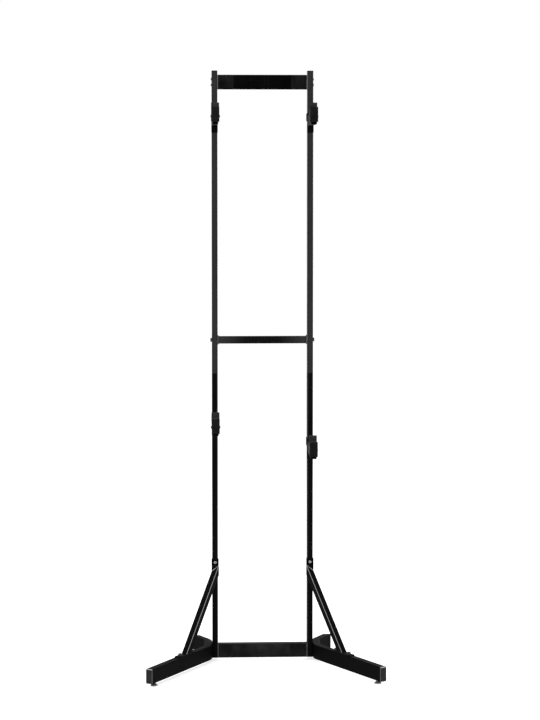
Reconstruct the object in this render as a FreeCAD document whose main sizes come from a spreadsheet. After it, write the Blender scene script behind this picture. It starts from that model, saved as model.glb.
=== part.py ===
"""Bike storage tower: a floor stand that carries two bikes above each other.

Millimetres. +Z is up, the front is -Y and the floor is Z = 0.
X = 0 is midway between the uprights, and Y = 0 is midway between the front and rear of the base.
"""

import FreeCAD, Part
import math
import os

import Sketcher
from FreeCAD import Placement, Rotation, Vector

# Driving dimensions: alias, value in millimetres or degrees, what it is.
SIZES = (
    ("total_high", 2050, "top of the uprights' caps above the floor"),
    ("seam_high", 1007, "where the lower and upper uprights meet"),
    ("upright_centres", 330, "distance between the uprights' centre lines"),
    ("upright_wide", 20, "upright tube, across the stand"),
    ("upright_deep", 40, "upright tube, front to back"),
    ("upright_wall", 1.5, "upright tube's wall"),
    ("tube_corner", 2.5, "outer corner radius of the frame's tubes"),
    ("splice_long", 160, "length of the splice sleeves"),
    ("splice_wall", 2, "wall of the splice sleeves"),
    ("splice_screw_reach", 40, "splice screws above and below the seam"),
    ("plug_gap", 0.2, "clearance of what slips into a tube, each side"),
    ("cap_plate", 3, "head thickness of the uprights' caps"),
    ("plug_deep", 16, "depth of the caps' plugs"),
    ("leg_lift", 12, "underside of the legs above the floor"),
    ("leg_wide", 25, "leg tube's width"),
    ("leg_high", 50, "leg tube's height"),
    ("leg_wall", 2, "leg tube's wall"),
    ("leg_flat", 44, "straight stretch of a leg beside its upright"),
    ("leg_bend", 67.5, "bend radius of a leg's centre line"),
    ("leg_splay", 31, "angle of a leg's arms from front to back"),
    ("front_arm_long", 368.5, "straight stretch of a leg's front arm"),
    ("rear_reach", 117, "rear end of the legs behind the uprights' centre"),
    ("leg_cap_plate", 2.5, "head thickness of the leg caps"),
    ("leg_plug_gap", 0.4, "clearance of the leg caps' plugs, each side"),
    ("crossbar_high", 50, "height of the base crossbar"),
    ("crossbar_deep", 20, "depth of the base crossbar's channel"),
    ("crossbar_sheet", 2.5, "sheet of the base crossbar"),
    ("mid_bar_high", 1121.5, "centre of the middle bar above the floor"),
    ("mid_bar_size", 25, "middle bar's square tube"),
    ("mid_bar_wall", 2, "middle bar's wall"),
    ("flange_plate", 3, "middle bar's end flanges"),
    ("flange_high", 31, "height of the middle bar's end flanges"),
    ("header_drop", 14, "top of the header below the uprights' tops"),
    ("header_high", 50, "height of the header panel"),
    ("header_deep", 15, "depth of the header panel's folded edges"),
    ("header_front", 12, "face of the header before the uprights' centre"),
    ("header_sheet", 1.5, "sheet of the header panel"),
    ("brace_size", 22, "brace's square tube"),
    ("brace_wall", 1.5, "brace's wall"),
    ("brace_foot_along", 133.5, "brace's foot along the front arm"),
    ("brace_top_high", 309, "where the brace's centre line meets its bracket"),
    ("foot_plate", 3, "thickness of the brace's foot plate"),
    ("foot_plate_wide", 24.5, "width of the brace's foot plate"),
    ("foot_plate_back", 45, "foot plate behind the brace"),
    ("foot_plate_fore", 56.5, "foot plate before the brace"),
    ("foot_bolt_back", 33, "inner foot bolt behind the brace"),
    ("foot_bolt_fore", 38.5, "outer foot bolt before the brace"),
    ("bracket_sheet", 2.5, "sheet of the brace brackets"),
    ("bracket_deep", 18, "how far a bracket's sides reach along the upright"),
    ("bracket_low", 300, "lower edge of the brace brackets"),
    ("bracket_high", 59, "height of the brace brackets"),
    ("bracket_bolt_high", 347.5, "bracket bolt above the floor"),
    ("bolt_radius", 4, "frame bolts' shank"),
    ("bolt_head_radius", 7.5, "frame bolts' hexagon over its corners, halved"),
    ("bolt_head_high", 5.3, "frame bolts' head"),
    ("bolt_slack", 0.3, "clearance of the frame bolts in their holes"),
    ("nut_high", 6.5, "height of the frame nuts"),
    ("base_bolt_edge", 13, "base bolts from the leg's upper and lower edge"),
    ("base_bolt_front", 10, "base bolts before the uprights' centre"),
    ("small_radius", 2.5, "small screws' shank"),
    ("small_head_radius", 4.6, "small screws' head"),
    ("small_head_high", 2.6, "small screws' head height"),
    ("header_screw_edge", 15, "header screws from the panel's edges"),
    ("upper_lip_drop", 131, "front lip of the upper cradles below the uprights' tops"),
    ("lower_left_lip_high", 873, "front lip of the lower left cradle"),
    ("lower_right_lip_high", 793, "front lip of the lower right cradle"),
    ("cradle_reach", 230, "cradle's face before the uprights' centre"),
    ("cradle_wide", 27, "width of the cradles"),
    ("trough_radius", 20, "radius that the padded trough offers a bike's tube"),
    ("trough_rise", 6, "trough's centre above the front lip"),
    ("pad_thick", 3, "cradle pad's thickness"),
    ("pad_inset", 1, "cradle pad short of the cradle's sides"),
    ("cradle_wall", 7, "cradle's front and rear wall beside the trough"),
    ("back_rise", 16, "rear lip above the front lip"),
    ("cradle_floor", 5, "cradle's thickness under the trough"),
    ("apron_high", 50, "cradle's front apron below the lip"),
    ("apron_thick", 8, "cradle's front apron"),
    ("rib_wide", 4, "ribs on the apron"),
    ("rib_proud", 1.2, "how far the ribs stand out"),
    ("rib_spread", 14, "distance between the ribs' centres"),
    ("saddle_drop", 16, "cradle's skirts below the arm's top"),
    ("saddle_gap", 0.1, "cradle's skirts off the arm"),
    ("saddle_screw_drop", 9, "cradle screws below the arm's top"),
    ("arm_wide", 20, "support arm's tube, across"),
    ("arm_high", 36, "support arm's tube, height"),
    ("arm_wall", 2, "support arm's wall"),
    ("collar_drop", 15, "collar's top below the front lip"),
    ("collar_high", 26, "height of the collar's band"),
    ("collar_wall", 1.5, "collar's sides"),
    ("collar_back", 2, "collar's rear wall"),
    ("slide_gap", 0.3, "collar's clearance on the upright"),
    ("bearing_plate", 3, "plate between collar and arm"),
    ("bearing_plate_wide", 22, "width of that plate"),
    ("bearing_drop", 82, "plate's lower edge below the front lip"),
    ("clamp_pad_thick", 5, "pressure pad's thickness"),
    ("clamp_pad_wide", 18, "pressure pad's width"),
    ("clamp_pad_high", 22, "pressure pad's height"),
    ("clamp_travel", 3.75, "how far the pressure pad backs off"),
    ("clamp_spare", 0.4, "room behind the backed-off pressure pad"),
    ("socket_deep", 3, "stud's seat in its pad"),
    ("stud_radius", 4, "radius of the clamp and foot studs"),
    ("stud_gap", 0.05, "running clearance round a stud"),
    ("stud_end_gap", 0.5, "stud's tip off the floor of its seat"),
    ("weld_nut_radius", 7.5, "weld nuts for the studs"),
    ("weld_nut_high", 8, "height of those weld nuts"),
    ("handle_gap", 5.5, "clamp handle off its weld nut"),
    ("handle_hub_radius", 8, "clamp handle's hub"),
    ("handle_hub_long", 16, "clamp handle's length along the stud"),
    ("handle_bar_long", 46, "clamp handle's cross bar"),
    ("handle_bar_size", 12, "clamp handle's cross bar's thickness"),
    ("foot_pad_radius", 12, "foot pad's radius on the floor"),
    ("foot_rim_high", 2.5, "foot pad's rim"),
    ("foot_neck_radius", 6.5, "foot pad's neck"),
    ("foot_pad_high", 8, "foot pad's height"),
    ("foot_stud_long", 44, "levelling stud's length"),
    ("foot_hex_radius", 5.8, "levelling stud's wrench hexagon"),
    ("foot_hex_high", 2.5, "height of that hexagon"),
    ("front_foot_inset", 28.5, "front feet from the front arm's end"),
    ("rear_foot_along", 45, "rear feet along the rear arm"),
)

doc = FreeCAD.newDocument("BikeStorageTower")
sheet = doc.addObject("Spreadsheet::Sheet", "sizes")
for row, (alias, value, meaning) in enumerate(SIZES, start=1):
    sheet.set(f"A{row}", alias)
    sheet.set(f"B{row}", str(value))
    sheet.setAlias(f"B{row}", alias)
    sheet.set(f"C{row}", meaning)
doc.recompute()

# Places worked out from the driving dimensions, as expressions.
UPRIGHT_X = "(sizes.upright_centres / 2)"
UPRIGHT_OUT = f"({UPRIGHT_X} + sizes.upright_wide / 2)"
UPRIGHT_IN = f"({UPRIGHT_X} - sizes.upright_wide / 2)"
UPRIGHT_FRONT = "(sizes.upright_deep / 2)"
LEG_X = f"({UPRIGHT_OUT} + sizes.leg_wide / 2)"
LEG_TOP = "(sizes.leg_lift + sizes.leg_high)"
LEG_MIDDLE = "(sizes.leg_lift + sizes.leg_high / 2)"
BEND_OUT = "(sizes.leg_bend * (1 - cos(sizes.leg_splay)))"
BEND_RUN = "(sizes.leg_bend * sin(sizes.leg_splay))"
ARM_X = f"({LEG_X} + {BEND_OUT})"
ARM_Y = f"(sizes.leg_flat / 2 + {BEND_RUN})"
FRONT_CAP_END = "(sizes.front_arm_long + sizes.leg_cap_plate)"
FRONT_REACH = f"({ARM_Y} + {FRONT_CAP_END} * cos(sizes.leg_splay) + sizes.leg_wide / 2 * sin(sizes.leg_splay))"
PLANE = f"(({FRONT_REACH} - sizes.rear_reach) / 2)"
REAR_CUT = "(sizes.rear_reach - sizes.leg_cap_plate)"
HEADER_TOP = "(sizes.total_high - sizes.header_drop)"
HEADER_LOW = f"({HEADER_TOP} - sizes.header_high)"
SPAN = f"(2 * {UPRIGHT_IN})"
COUNTERSINK = "(sizes.small_radius + sizes.upright_wall)"

X_AXIS = Vector(1, 0, 0)
Y_AXIS = Vector(0, 1, 0)
Z_AXIS = Vector(0, 0, 1)
ALONG = {
    "+x": Rotation(Y_AXIS, 90),
    "-x": Rotation(Y_AXIS, -90),
    "+y": Rotation(X_AXIS, -90),
    "-y": Rotation(X_AXIS, 90),
    "+z": Rotation(),
}
nodes = []


def number(expression):
    """Value of an expression over the sheet."""
    return float(sheet.evalExpression(expression))


def arm_point(along, sideways="0", rearward=False):
    """X and Y expressions of a point along a leg's front or rear arm, from the arm's start."""
    x = f"({ARM_X} + ({along}) * sin(sizes.leg_splay) + ({sideways}) * cos(sizes.leg_splay))"
    run = f"({ARM_Y} + ({along}) * cos(sizes.leg_splay) - ({sideways}) * sin(sizes.leg_splay))"
    y = f"({PLANE} + {run})" if rearward else f"({PLANE} - {run})"
    return x, y


def centred(centre, size):
    """Expression of the low edge of something centred on a place."""
    return f"({centre}) - ({size}) / 2"


def move(thing, x, y, z):
    """Bind the place of an object, keeping its rotation."""
    for axis, expression in zip("xyz", (x, y, z)):
        thing.setExpression(f"Placement.Base.{axis}", expression)
    return thing


def turn_and_move(thing, place, yaw, pitch="0", roll="0"):
    """Bind the whole placement of an object: its place, then its yaw, pitch and roll."""
    x, y, z = place
    thing.setExpression(
        "Placement",
        f"create(<<placement>>; create(<<vector>>; {x}; {y}; {z});"
        f" create(<<rotation>>; {yaw}; {pitch}; {roll}))",
    )
    return thing


def make(kind, name, **sizes):
    """A Part object with its properties bound to expressions."""
    thing = doc.addObject(f"Part::{kind}", name)
    for prop, expression in sizes.items():
        thing.setExpression(prop, expression)
    return thing


def box(name, size, low):
    """A Part box from its size and low corner."""
    return move(make("Box", name, Length=size[0], Width=size[1], Height=size[2]), *low)


def rod(name, radius, length, place, along):
    """A Part cylinder that starts at a place and runs along an axis."""
    thing = make("Cylinder", name, Radius=radius, Height=length)
    thing.Placement = Placement(Vector(), ALONG[along])
    return move(thing, *place)


def group(kind, name, pieces):
    """Boolean or compound of several objects."""
    thing = doc.addObject(f"Part::{kind}", name)
    setattr(thing, "Links" if kind == "Compound" else "Shapes", pieces)
    return thing


def cut(name, base, tool):
    """Base without tool."""
    thing = doc.addObject("Part::Cut", name)
    thing.Base = base
    thing.Tool = tool
    return thing


def mirrored(name, source):
    """The other side's copy of a piece."""
    thing = doc.addObject("Part::Mirroring", name)
    thing.Source = source
    thing.Normal = X_AXIS
    return thing


def keep(thing, label):
    """Name a finished piece."""
    thing.Label = label
    nodes.append(thing)
    return thing


def loose_body(name, x="0", y="0", z="0"):
    """A PartDesign body at a bound place, for use in a larger or repeated piece."""
    return move(doc.addObject("PartDesign::Body", name), x, y, z)


def new_body(label, x="0", y="0", z="0"):
    """A PartDesign body at a bound place, which is one finished piece."""
    return keep(loose_body(label, x, y, z), label)


def add(body, kind, size, low=None, sign="Additive", along="+z"):
    """A PartDesign primitive in a body, bound to its size and place."""
    feature = body.newObject(f"PartDesign::{sign}{kind}", f"{body.Label}_{kind.lower()}")
    for prop, expression in size.items():
        feature.setExpression(prop, expression)
    feature.Placement = Placement(Vector(), ALONG[along])
    move(feature, *(low or ("0", "0", "0")))
    return feature


def block(body, size, low, sign="Additive"):
    """A box in a body."""
    return add(body, "Box", dict(zip(("Length", "Width", "Height"), size)), low, sign)


def drum(body, radius, length, place, along="+z", sign="Additive"):
    """A cylinder in a body."""
    return add(body, "Cylinder", {"Radius": radius, "Height": length}, place, sign, along)


def round_edges(body, radius, wanted):
    """Fillet the edges of a body's last feature that a test picks."""
    doc.recompute()
    base = body.Tip
    edges = [f"Edge{i}" for i, edge in enumerate(base.Shape.Edges, start=1) if wanted(edge)]
    feature = body.newObject("PartDesign::Fillet", f"{body.Label}_rounding")
    feature.Base = (base, edges)
    feature.setExpression("Radius", radius)
    return feature


def runs(edge, axis):
    """Whether an edge is straight and parallel to an axis."""
    return isinstance(edge.Curve, Part.Line) and abs(edge.Curve.Direction.dot(axis)) > 0.999


def rounded_tube(body, wide, deep, high, wall, low_z="0"):
    """A rectangular tube along Z with rounded outer corners, centred on the body's origin."""
    block(body, (wide, deep, high), (centred("0", wide), centred("0", deep), low_z))
    round_edges(body, "sizes.tube_corner", lambda edge: runs(edge, Z_AXIS))
    inner_wide = f"({wide}) - 2 * ({wall})"
    inner_deep = f"({deep}) - 2 * ({wall})"
    corner = (centred("0", inner_wide), centred("0", inner_deep), low_z)
    block(body, (inner_wide, inner_deep, high), corner, "Subtractive")


def origin_plane(body, role):
    """One of a body's own origin planes."""
    return next(feature for feature in body.Origin.OriginFeatures if feature.Role == role)


def new_sketch(body, role, name):
    """A sketch on one of the body's origin planes."""
    sketch = body.newObject("Sketcher::SketchObject", name)
    sketch.AttachmentSupport = (origin_plane(body, role), [""])
    sketch.MapMode = "FlatFace"
    return sketch


def constrain(sketch, expression, kind, *where):
    """A dimension of a sketch, bound to an expression."""
    index = sketch.addConstraint(Sketcher.Constraint(kind, *where, number(expression)))
    sketch.setExpression(f"Constraints[{index}]", expression)


def rounded_rectangle(sketch, wide, high, radius):
    """A rectangle with rounded corners about the sketch's origin."""
    half_wide, half_high, round_off = number(wide) / 2, number(high) / 2, number(radius)
    first = sketch.GeometryCount
    for quarter, (cx, cy) in enumerate(((1, -1), (1, 1), (-1, 1), (-1, -1))):
        centre = Vector(cx * (half_wide - round_off), cy * (half_high - round_off), 0)
        start = (quarter - 1) * math.pi / 2
        circle = Part.Circle(centre, Z_AXIS, round_off)
        sketch.addGeometry(Part.ArcOfCircle(circle, start, start + math.pi / 2), False)
    for quarter in range(4):
        here, after = sketch.Geometry[first + quarter], sketch.Geometry[first + (quarter + 1) % 4]
        sketch.addGeometry(Part.LineSegment(here.EndPoint, after.StartPoint), False)
    for quarter in range(4):
        side = first + 4 + quarter
        sketch.addConstraint(Sketcher.Constraint("Tangent", first + quarter, 2, side, 1))
        sketch.addConstraint(Sketcher.Constraint("Tangent", side, 2, first + (quarter + 1) % 4, 1))
        sketch.addConstraint(Sketcher.Constraint("Horizontal" if quarter % 2 else "Vertical", side))
        if quarter:
            sketch.addConstraint(Sketcher.Constraint("Equal", first, first + quarter))
    right, top, left, bottom = range(first + 4, first + 8)
    constrain(sketch, radius, "Radius", first)
    constrain(sketch, wide, "DistanceX", left, 1, right, 1)
    constrain(sketch, high, "DistanceY", bottom, 1, top, 1)
    sketch.addConstraint(Sketcher.Constraint("Symmetric", right, 1, left, 1, -1, 1))


def outline(sketch, corners):
    """A closed outline. A corner is (x, y), or (x, y, radius) where an arc leads to the next one.

    The arc's centre lies left of the way for a positive radius and right of it for a negative one.
    """
    points = [Vector(number(corner[0]), number(corner[1]), 0) for corner in corners]
    starts = []
    for index, corner in enumerate(corners):
        here, after = points[index], points[(index + 1) % len(points)]
        if len(corner) == 2:
            sketch.addGeometry(Part.LineSegment(here, after), False)
            starts.append(1)
            continue
        radius = number(corner[2])
        chord = after - here
        aside = Vector(-chord.y, chord.x, 0).normalize() * math.copysign(1, radius)
        centre = (here + after) / 2 + aside * math.sqrt(radius**2 - chord.Length**2 / 4)
        ends = (here, after) if radius > 0 else (after, here)
        begin, end = (math.atan2(point.y - centre.y, point.x - centre.x) for point in ends)
        circle = Part.Circle(centre, Z_AXIS, abs(radius))
        sketch.addGeometry(Part.ArcOfCircle(circle, begin, end if end > begin else end + 2 * math.pi), False)
        starts.append(1 if radius > 0 else 2)
    for index, corner in enumerate(corners):
        after = (index + 1) % len(corners)
        end = 3 - starts[index]
        sketch.addConstraint(Sketcher.Constraint("Coincident", index, end, after, starts[after]))
        constrain(sketch, corner[0], "DistanceX", -1, 1, index, starts[index])
        constrain(sketch, corner[1], "DistanceY", -1, 1, index, starts[index])
        if len(corner) == 3:
            constrain(sketch, f"abs({corner[2]})", "Radius", index)


def pad_across(body, sketch, length):
    """Extrude a sketch to both sides of its plane."""
    feature = body.newObject("PartDesign::Pad", f"{sketch.Name}_solid")
    feature.Profile = sketch
    feature.Midplane = True
    feature.setExpression("Length", length)
    return feature


def bolt(name, head_radius, head_high, shank_radius, shank_long, place, along, round_head=False):
    """A bolt whose shank starts at a place and runs along an axis, with its head before that."""
    if round_head:
        head = make("Cylinder", f"{name}_head", Radius=head_radius, Height=head_high)
    else:
        head = make("Prism", f"{name}_head", Circumradius=head_radius, Height=head_high)
        head.Polygon = 6
    head.setExpression("Placement.Base.z", f"-({head_high})")
    shank = make("Cylinder", f"{name}_shank", Radius=shank_radius, Height=shank_long)
    whole = group("MultiFuse", name, [head, shank])
    whole.Placement = Placement(Vector(), ALONG[along])
    return move(whole, *place)


def both_sides(label, pieces):
    """One node of identical separate pieces, on the right and mirrored on the left."""
    return keep(group("Compound", label, pieces + [mirrored(f"{piece.Name}_left", piece) for piece in pieces]), label)


def left_and_right(label, piece):
    """The right piece and its mirrored left one, as two nodes."""
    keep(mirrored(f"left_{label}", piece), f"left_{label}")
    piece.Label = f"right_{label}"
    return piece


def bolt_heights():
    """The base bolts' heights."""
    return "sizes.leg_lift + sizes.base_bolt_edge", f"{LEG_TOP} - sizes.base_bolt_edge"


def make_uprights():
    """Lower and upper upright tubes, with the holes of everything that is bolted through them."""
    screw_levels = {
        "lower": "sizes.seam_high - sizes.splice_screw_reach",
        "upper": "sizes.seam_high + sizes.splice_screw_reach",
    }
    ends = {
        "lower": ("sizes.leg_lift", "sizes.seam_high"),
        "upper": ("sizes.seam_high", "sizes.total_high - sizes.cap_plate"),
    }
    through = "sizes.upright_wide + 2 * sizes.bolt_slack"
    for name, (low, high) in ends.items():
        body = new_body(f"right_{name}_upright", UPRIGHT_X, PLANE, "0")
        rounded_tube(body, "sizes.upright_wide", "sizes.upright_deep", f"{high} - {low}", "sizes.upright_wall", low)
        holes = [(level, "-sizes.base_bolt_front", "sizes.bolt_radius + sizes.bolt_slack") for level in bolt_heights()]
        if name == "upper":
            holes = [("sizes.mid_bar_high", "0", "sizes.bolt_radius + sizes.bolt_slack")]
            for level in header_screw_levels():
                holes.append((level, HEADER_SCREW_Y, "sizes.small_radius"))
        for level, y, radius in holes:
            place = ("-sizes.upright_wide / 2 - sizes.bolt_slack", y, level)
            drum(body, radius, through, place, "+x", "Subtractive")
        add(body, "Cone", {"Radius1": COUNTERSINK, "Radius2": "sizes.small_radius", "Height": "sizes.upright_wall"},
            ("sizes.upright_wide / 2", "0", screw_levels[name]), "Subtractive", "-x")
        if name == "lower":
            place = ("0", f"-{UPRIGHT_FRONT} - sizes.bolt_slack", "sizes.bracket_bolt_high")
            drum(body, "sizes.bolt_radius", "sizes.upright_wall + 2 * sizes.bolt_slack", place, "+y", "Subtractive")
        left_and_right(f"{name}_upright", body)


def make_splices():
    """Sleeves inside the uprights at the seam, the screws that hold them, and the top caps."""
    body = new_body("right_splice", UPRIGHT_X, PLANE, "sizes.seam_high - sizes.splice_long / 2")
    wide = "sizes.upright_wide - 2 * sizes.upright_wall - 2 * sizes.plug_gap"
    deep = "sizes.upright_deep - 2 * sizes.upright_wall - 2 * sizes.plug_gap"
    block(body, (wide, deep, "sizes.splice_long"), (centred("0", wide), centred("0", deep), "0"))
    inner_wide, inner_deep = f"({wide}) - 2 * sizes.splice_wall", f"({deep}) - 2 * sizes.splice_wall"
    corner = (centred("0", inner_wide), centred("0", inner_deep), "0")
    block(body, (inner_wide, inner_deep, "sizes.splice_long"), corner, "Subtractive")
    screws = []
    reach = "(sizes.upright_wall + sizes.plug_gap + sizes.splice_wall + 1)"
    for name, side in (("low", "-"), ("high", "+")):
        level = f"sizes.splice_long / 2 {side} sizes.splice_screw_reach"
        drum(body, "sizes.small_radius", reach, (f"({wide}) / 2 + sizes.plug_gap", "0", level), "-x", "Subtractive")
        head = make("Cone", f"splice_screw_{name}_head", Radius1=COUNTERSINK, Radius2="sizes.small_radius",
                    Height="sizes.upright_wall")
        shank = make("Cylinder", f"splice_screw_{name}_shank", Radius="sizes.small_radius", Height=reach)
        screw = group("MultiFuse", f"splice_screw_{name}", [head, shank])
        screw.Placement = Placement(Vector(), ALONG["-x"])
        screws.append(move(screw, UPRIGHT_OUT, PLANE, f"sizes.seam_high {side} sizes.splice_screw_reach"))
    left_and_right("splice", body)
    both_sides("splice_screws", screws)

    cap = loose_body("top_cap", UPRIGHT_X, PLANE, "sizes.total_high - sizes.cap_plate")
    block(cap, ("sizes.upright_wide", "sizes.upright_deep", "sizes.cap_plate"),
          (centred("0", "sizes.upright_wide"), centred("0", "sizes.upright_deep"), "0"))
    round_edges(cap, "sizes.tube_corner", lambda edge: runs(edge, Z_AXIS))
    block(cap, (wide, deep, "sizes.plug_deep"), (centred("0", wide), centred("0", deep), "-sizes.plug_deep"))
    both_sides("top_caps", [cap])


def arm_line(body, name, direction, length):
    """Centre line of half a leg: half the flat, the bend and one arm. Direction -1 runs forward."""
    sketch = new_sketch(body, "XY_Plane", name)
    half_flat, radius = number("sizes.leg_flat / 2"), number("sizes.leg_bend")
    splay, straight = math.radians(number("sizes.leg_splay")), number(length)
    bend_start = Vector(0, direction * half_flat, 0)
    centre = bend_start + Vector(radius, 0, 0)
    bend_end = centre + Vector(-math.cos(splay), direction * math.sin(splay), 0) * radius
    arm_end = bend_end + Vector(math.sin(splay), direction * math.cos(splay), 0) * straight
    sweep = (math.pi - splay, math.pi) if direction > 0 else (math.pi, math.pi + splay)
    sketch.addGeometry(Part.LineSegment(Vector(), bend_start), False)
    sketch.addGeometry(Part.ArcOfCircle(Part.Circle(centre, Z_AXIS, radius), *sweep), False)
    sketch.addGeometry(Part.LineSegment(bend_end, arm_end), False)
    near, far = (2, 1) if direction > 0 else (1, 2)
    sketch.addConstraint(Sketcher.Constraint("Coincident", 0, 1, -1, 1))
    sketch.addConstraint(Sketcher.Constraint("Vertical", 0))
    sketch.addConstraint(Sketcher.Constraint("Tangent", 0, 2, 1, near))
    sketch.addConstraint(Sketcher.Constraint("Tangent", 1, far, 2, 1))
    constrain(sketch, "sizes.leg_flat / 2", "Distance", 0)
    constrain(sketch, "sizes.leg_bend", "Radius", 1)
    constrain(sketch, BEND_OUT, "DistanceX", 1, near, 1, far)
    constrain(sketch, length, "Distance", 2)
    return sketch


def make_legs():
    """Bent floor legs with the weld nuts for the feet and the nuts of the base bolts."""
    body = new_body("right_leg", LEG_X, PLANE, LEG_MIDDLE)
    profile = new_sketch(body, "XZ_Plane", "leg_section")
    rounded_rectangle(profile, "sizes.leg_wide", "sizes.leg_high", "sizes.tube_corner")
    rounded_rectangle(profile, "sizes.leg_wide - 2 * sizes.leg_wall", "sizes.leg_high - 2 * sizes.leg_wall",
                      "sizes.tube_corner / 2")
    rear_long = f"({REAR_CUT} - {ARM_Y} + sizes.leg_wide) / cos(sizes.leg_splay)"
    for name, direction, length in (("front_arm", -1, "sizes.front_arm_long"), ("rear_arm", 1, rear_long)):
        line = arm_line(body, f"{name}_line", direction, length)
        doc.recompute()
        pipe = body.newObject("PartDesign::AdditivePipe", name)
        pipe.Profile = profile
        pipe.Spine = (line, ["Edge1", "Edge2", "Edge3"])
    trim = "4 * sizes.leg_wide"
    block(body, ("2 * sizes.rear_reach", trim, "2 * sizes.leg_high"),
          ("-sizes.leg_wide", REAR_CUT, "-sizes.leg_high"), "Subtractive")

    inner_floor = "-sizes.leg_high / 2 + sizes.leg_wall"
    for x, y in foot_points():
        local = (f"({x}) - {LEG_X}", f"({y}) - {PLANE}")
        drum(body, "sizes.weld_nut_radius", "sizes.weld_nut_high", (*local, inner_floor))
        drum(body, "sizes.stud_radius + sizes.stud_gap", "sizes.weld_nut_high + 2 * sizes.leg_wall",
             (*local, "-sizes.leg_high / 2 - sizes.leg_wall"), "+z", "Subtractive")
    for x, y in foot_bolt_points():
        drum(body, "sizes.bolt_radius", "2 * sizes.leg_wall",
             (f"({x}) - {LEG_X}", f"({y}) - {PLANE}", "sizes.leg_high / 2 - sizes.leg_wall * 1.5"),
             "+z", "Subtractive")
    for level in bolt_heights():
        drum(body, "sizes.bolt_radius + sizes.bolt_slack", "2 * sizes.leg_wall",
             ("-sizes.leg_wide / 2 - sizes.leg_wall / 2", "-sizes.base_bolt_front", f"{level} - {LEG_MIDDLE}"),
             "+x", "Subtractive")
    left_and_right("leg", body)


def foot_points():
    """X and Y of the right leg's front and rear foot."""
    front = arm_point("sizes.front_arm_long - sizes.front_foot_inset")
    return front, arm_point("sizes.rear_foot_along", rearward=True)


def foot_bolt_points():
    """X and Y of the two bolts of the right brace's foot plate."""
    back = arm_point("sizes.brace_foot_along - sizes.foot_bolt_back")
    return back, arm_point("sizes.brace_foot_along + sizes.foot_bolt_fore")


def make_leg_caps():
    """Plastic caps in the legs' open ends."""
    plug_wide = "(sizes.leg_wide - 2 * sizes.leg_wall - 2 * sizes.leg_plug_gap)"
    plug_high = "(sizes.leg_high - 2 * sizes.leg_wall - 2 * sizes.leg_plug_gap)"
    front = loose_body("front_leg_cap")
    block(front, ("sizes.leg_wide", "sizes.leg_cap_plate", "sizes.leg_high"),
          (centred("0", "sizes.leg_wide"), "-sizes.leg_cap_plate", centred("0", "sizes.leg_high")))
    round_edges(front, "sizes.tube_corner", lambda edge: runs(edge, Y_AXIS))
    block(front, (plug_wide, "sizes.plug_deep", plug_high), (centred("0", plug_wide), "0", centred("0", plug_high)))
    turn_and_move(front, (*arm_point("sizes.front_arm_long"), LEG_MIDDLE), "sizes.leg_splay")
    both_sides("front_leg_caps", [front])

    # The rear cap is what the rear cut leaves of the arm's outline and of its bore.
    middle = f"({REAR_CUT} - {ARM_Y}) / cos(sizes.leg_splay)"
    x, y = arm_point(f"{middle} - 2 * sizes.leg_wide", rearward=True)
    long = "(4 * sizes.leg_wide)"
    pieces = []
    for name, wide, high, low, deep in (
        ("head", "sizes.leg_wide", "sizes.leg_high", "0", "sizes.leg_cap_plate"),
        ("plug", plug_wide, plug_high, "-sizes.plug_deep / 2", "sizes.plug_deep / 2"),
    ):
        bar = loose_body(f"rear_cap_{name}_bar")
        block(bar, (wide, long, high), (centred("0", wide), "0", centred("0", high)))
        if name == "head":
            round_edges(bar, "sizes.tube_corner", lambda edge: runs(edge, Y_AXIS))
        turn_and_move(bar, (x, y, LEG_MIDDLE), "-sizes.leg_splay")
        slab = box(f"rear_cap_{name}_slab", ("sizes.rear_reach", deep, "sizes.leg_high"),
                   (ARM_X, f"{PLANE} + {REAR_CUT} + ({low})", "sizes.leg_lift"))
        pieces.append(group("MultiCommon", f"rear_cap_{name}", [bar, slab]))
    both_sides("rear_leg_caps", [group("MultiFuse", "rear_leg_cap", pieces)])


def make_crossbar():
    """Base crossbar: a channel open at the rear, with its bolts and nuts."""
    body = new_body("base_crossbar", "0", PLANE, "sizes.leg_lift")
    sheet_metal = "sizes.crossbar_sheet"
    inner = (f"{SPAN} - 2 * {sheet_metal}", "sizes.crossbar_deep", f"sizes.crossbar_high - 2 * {sheet_metal}")
    front = f"-{UPRIGHT_FRONT}"
    block(body, (SPAN, "sizes.crossbar_deep", "sizes.crossbar_high"), (f"-{UPRIGHT_IN}", front, "0"))
    round_edges(body, "sizes.tube_corner", lambda edge: runs(edge, X_AXIS) and edge.Vertexes[0].Y < -number(UPRIGHT_FRONT) / 2)
    block(body, inner, (f"-{UPRIGHT_IN} + {sheet_metal}", f"{front} + {sheet_metal}", sheet_metal), "Subtractive")
    bolts, nuts = [], []
    nut_x = f"{UPRIGHT_OUT} + sizes.leg_wall"
    shank = f"{nut_x} + sizes.nut_high + 2 - {UPRIGHT_IN} + {sheet_metal}"
    y = f"{PLANE} - sizes.base_bolt_front"
    for index, level in enumerate(bolt_heights()):
        drum(body, "sizes.bolt_radius + sizes.bolt_slack", SPAN,
             (f"-{UPRIGHT_IN}", "-sizes.base_bolt_front", f"{level} - sizes.leg_lift"), "+x", "Subtractive")
        bolts.append(bolt(f"base_bolt_{index}", "sizes.bolt_head_radius", "sizes.bolt_head_high", "sizes.bolt_radius",
                          shank, (f"{UPRIGHT_IN} - {sheet_metal}", y, level), "+x"))
        outer = make("Prism", f"base_nut_{index}_outer", Circumradius="sizes.bolt_head_radius", Height="sizes.nut_high")
        outer.Polygon = 6
        bore = make("Cylinder", f"base_nut_{index}_bore", Radius="sizes.bolt_radius", Height="sizes.nut_high")
        nut = cut(f"base_nut_{index}", outer, bore)
        nut.Placement = Placement(Vector(), ALONG["+x"])
        nuts.append(move(nut, nut_x, y, level))
    both_sides("base_bolts", bolts)
    both_sides("base_nuts", nuts)


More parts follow.
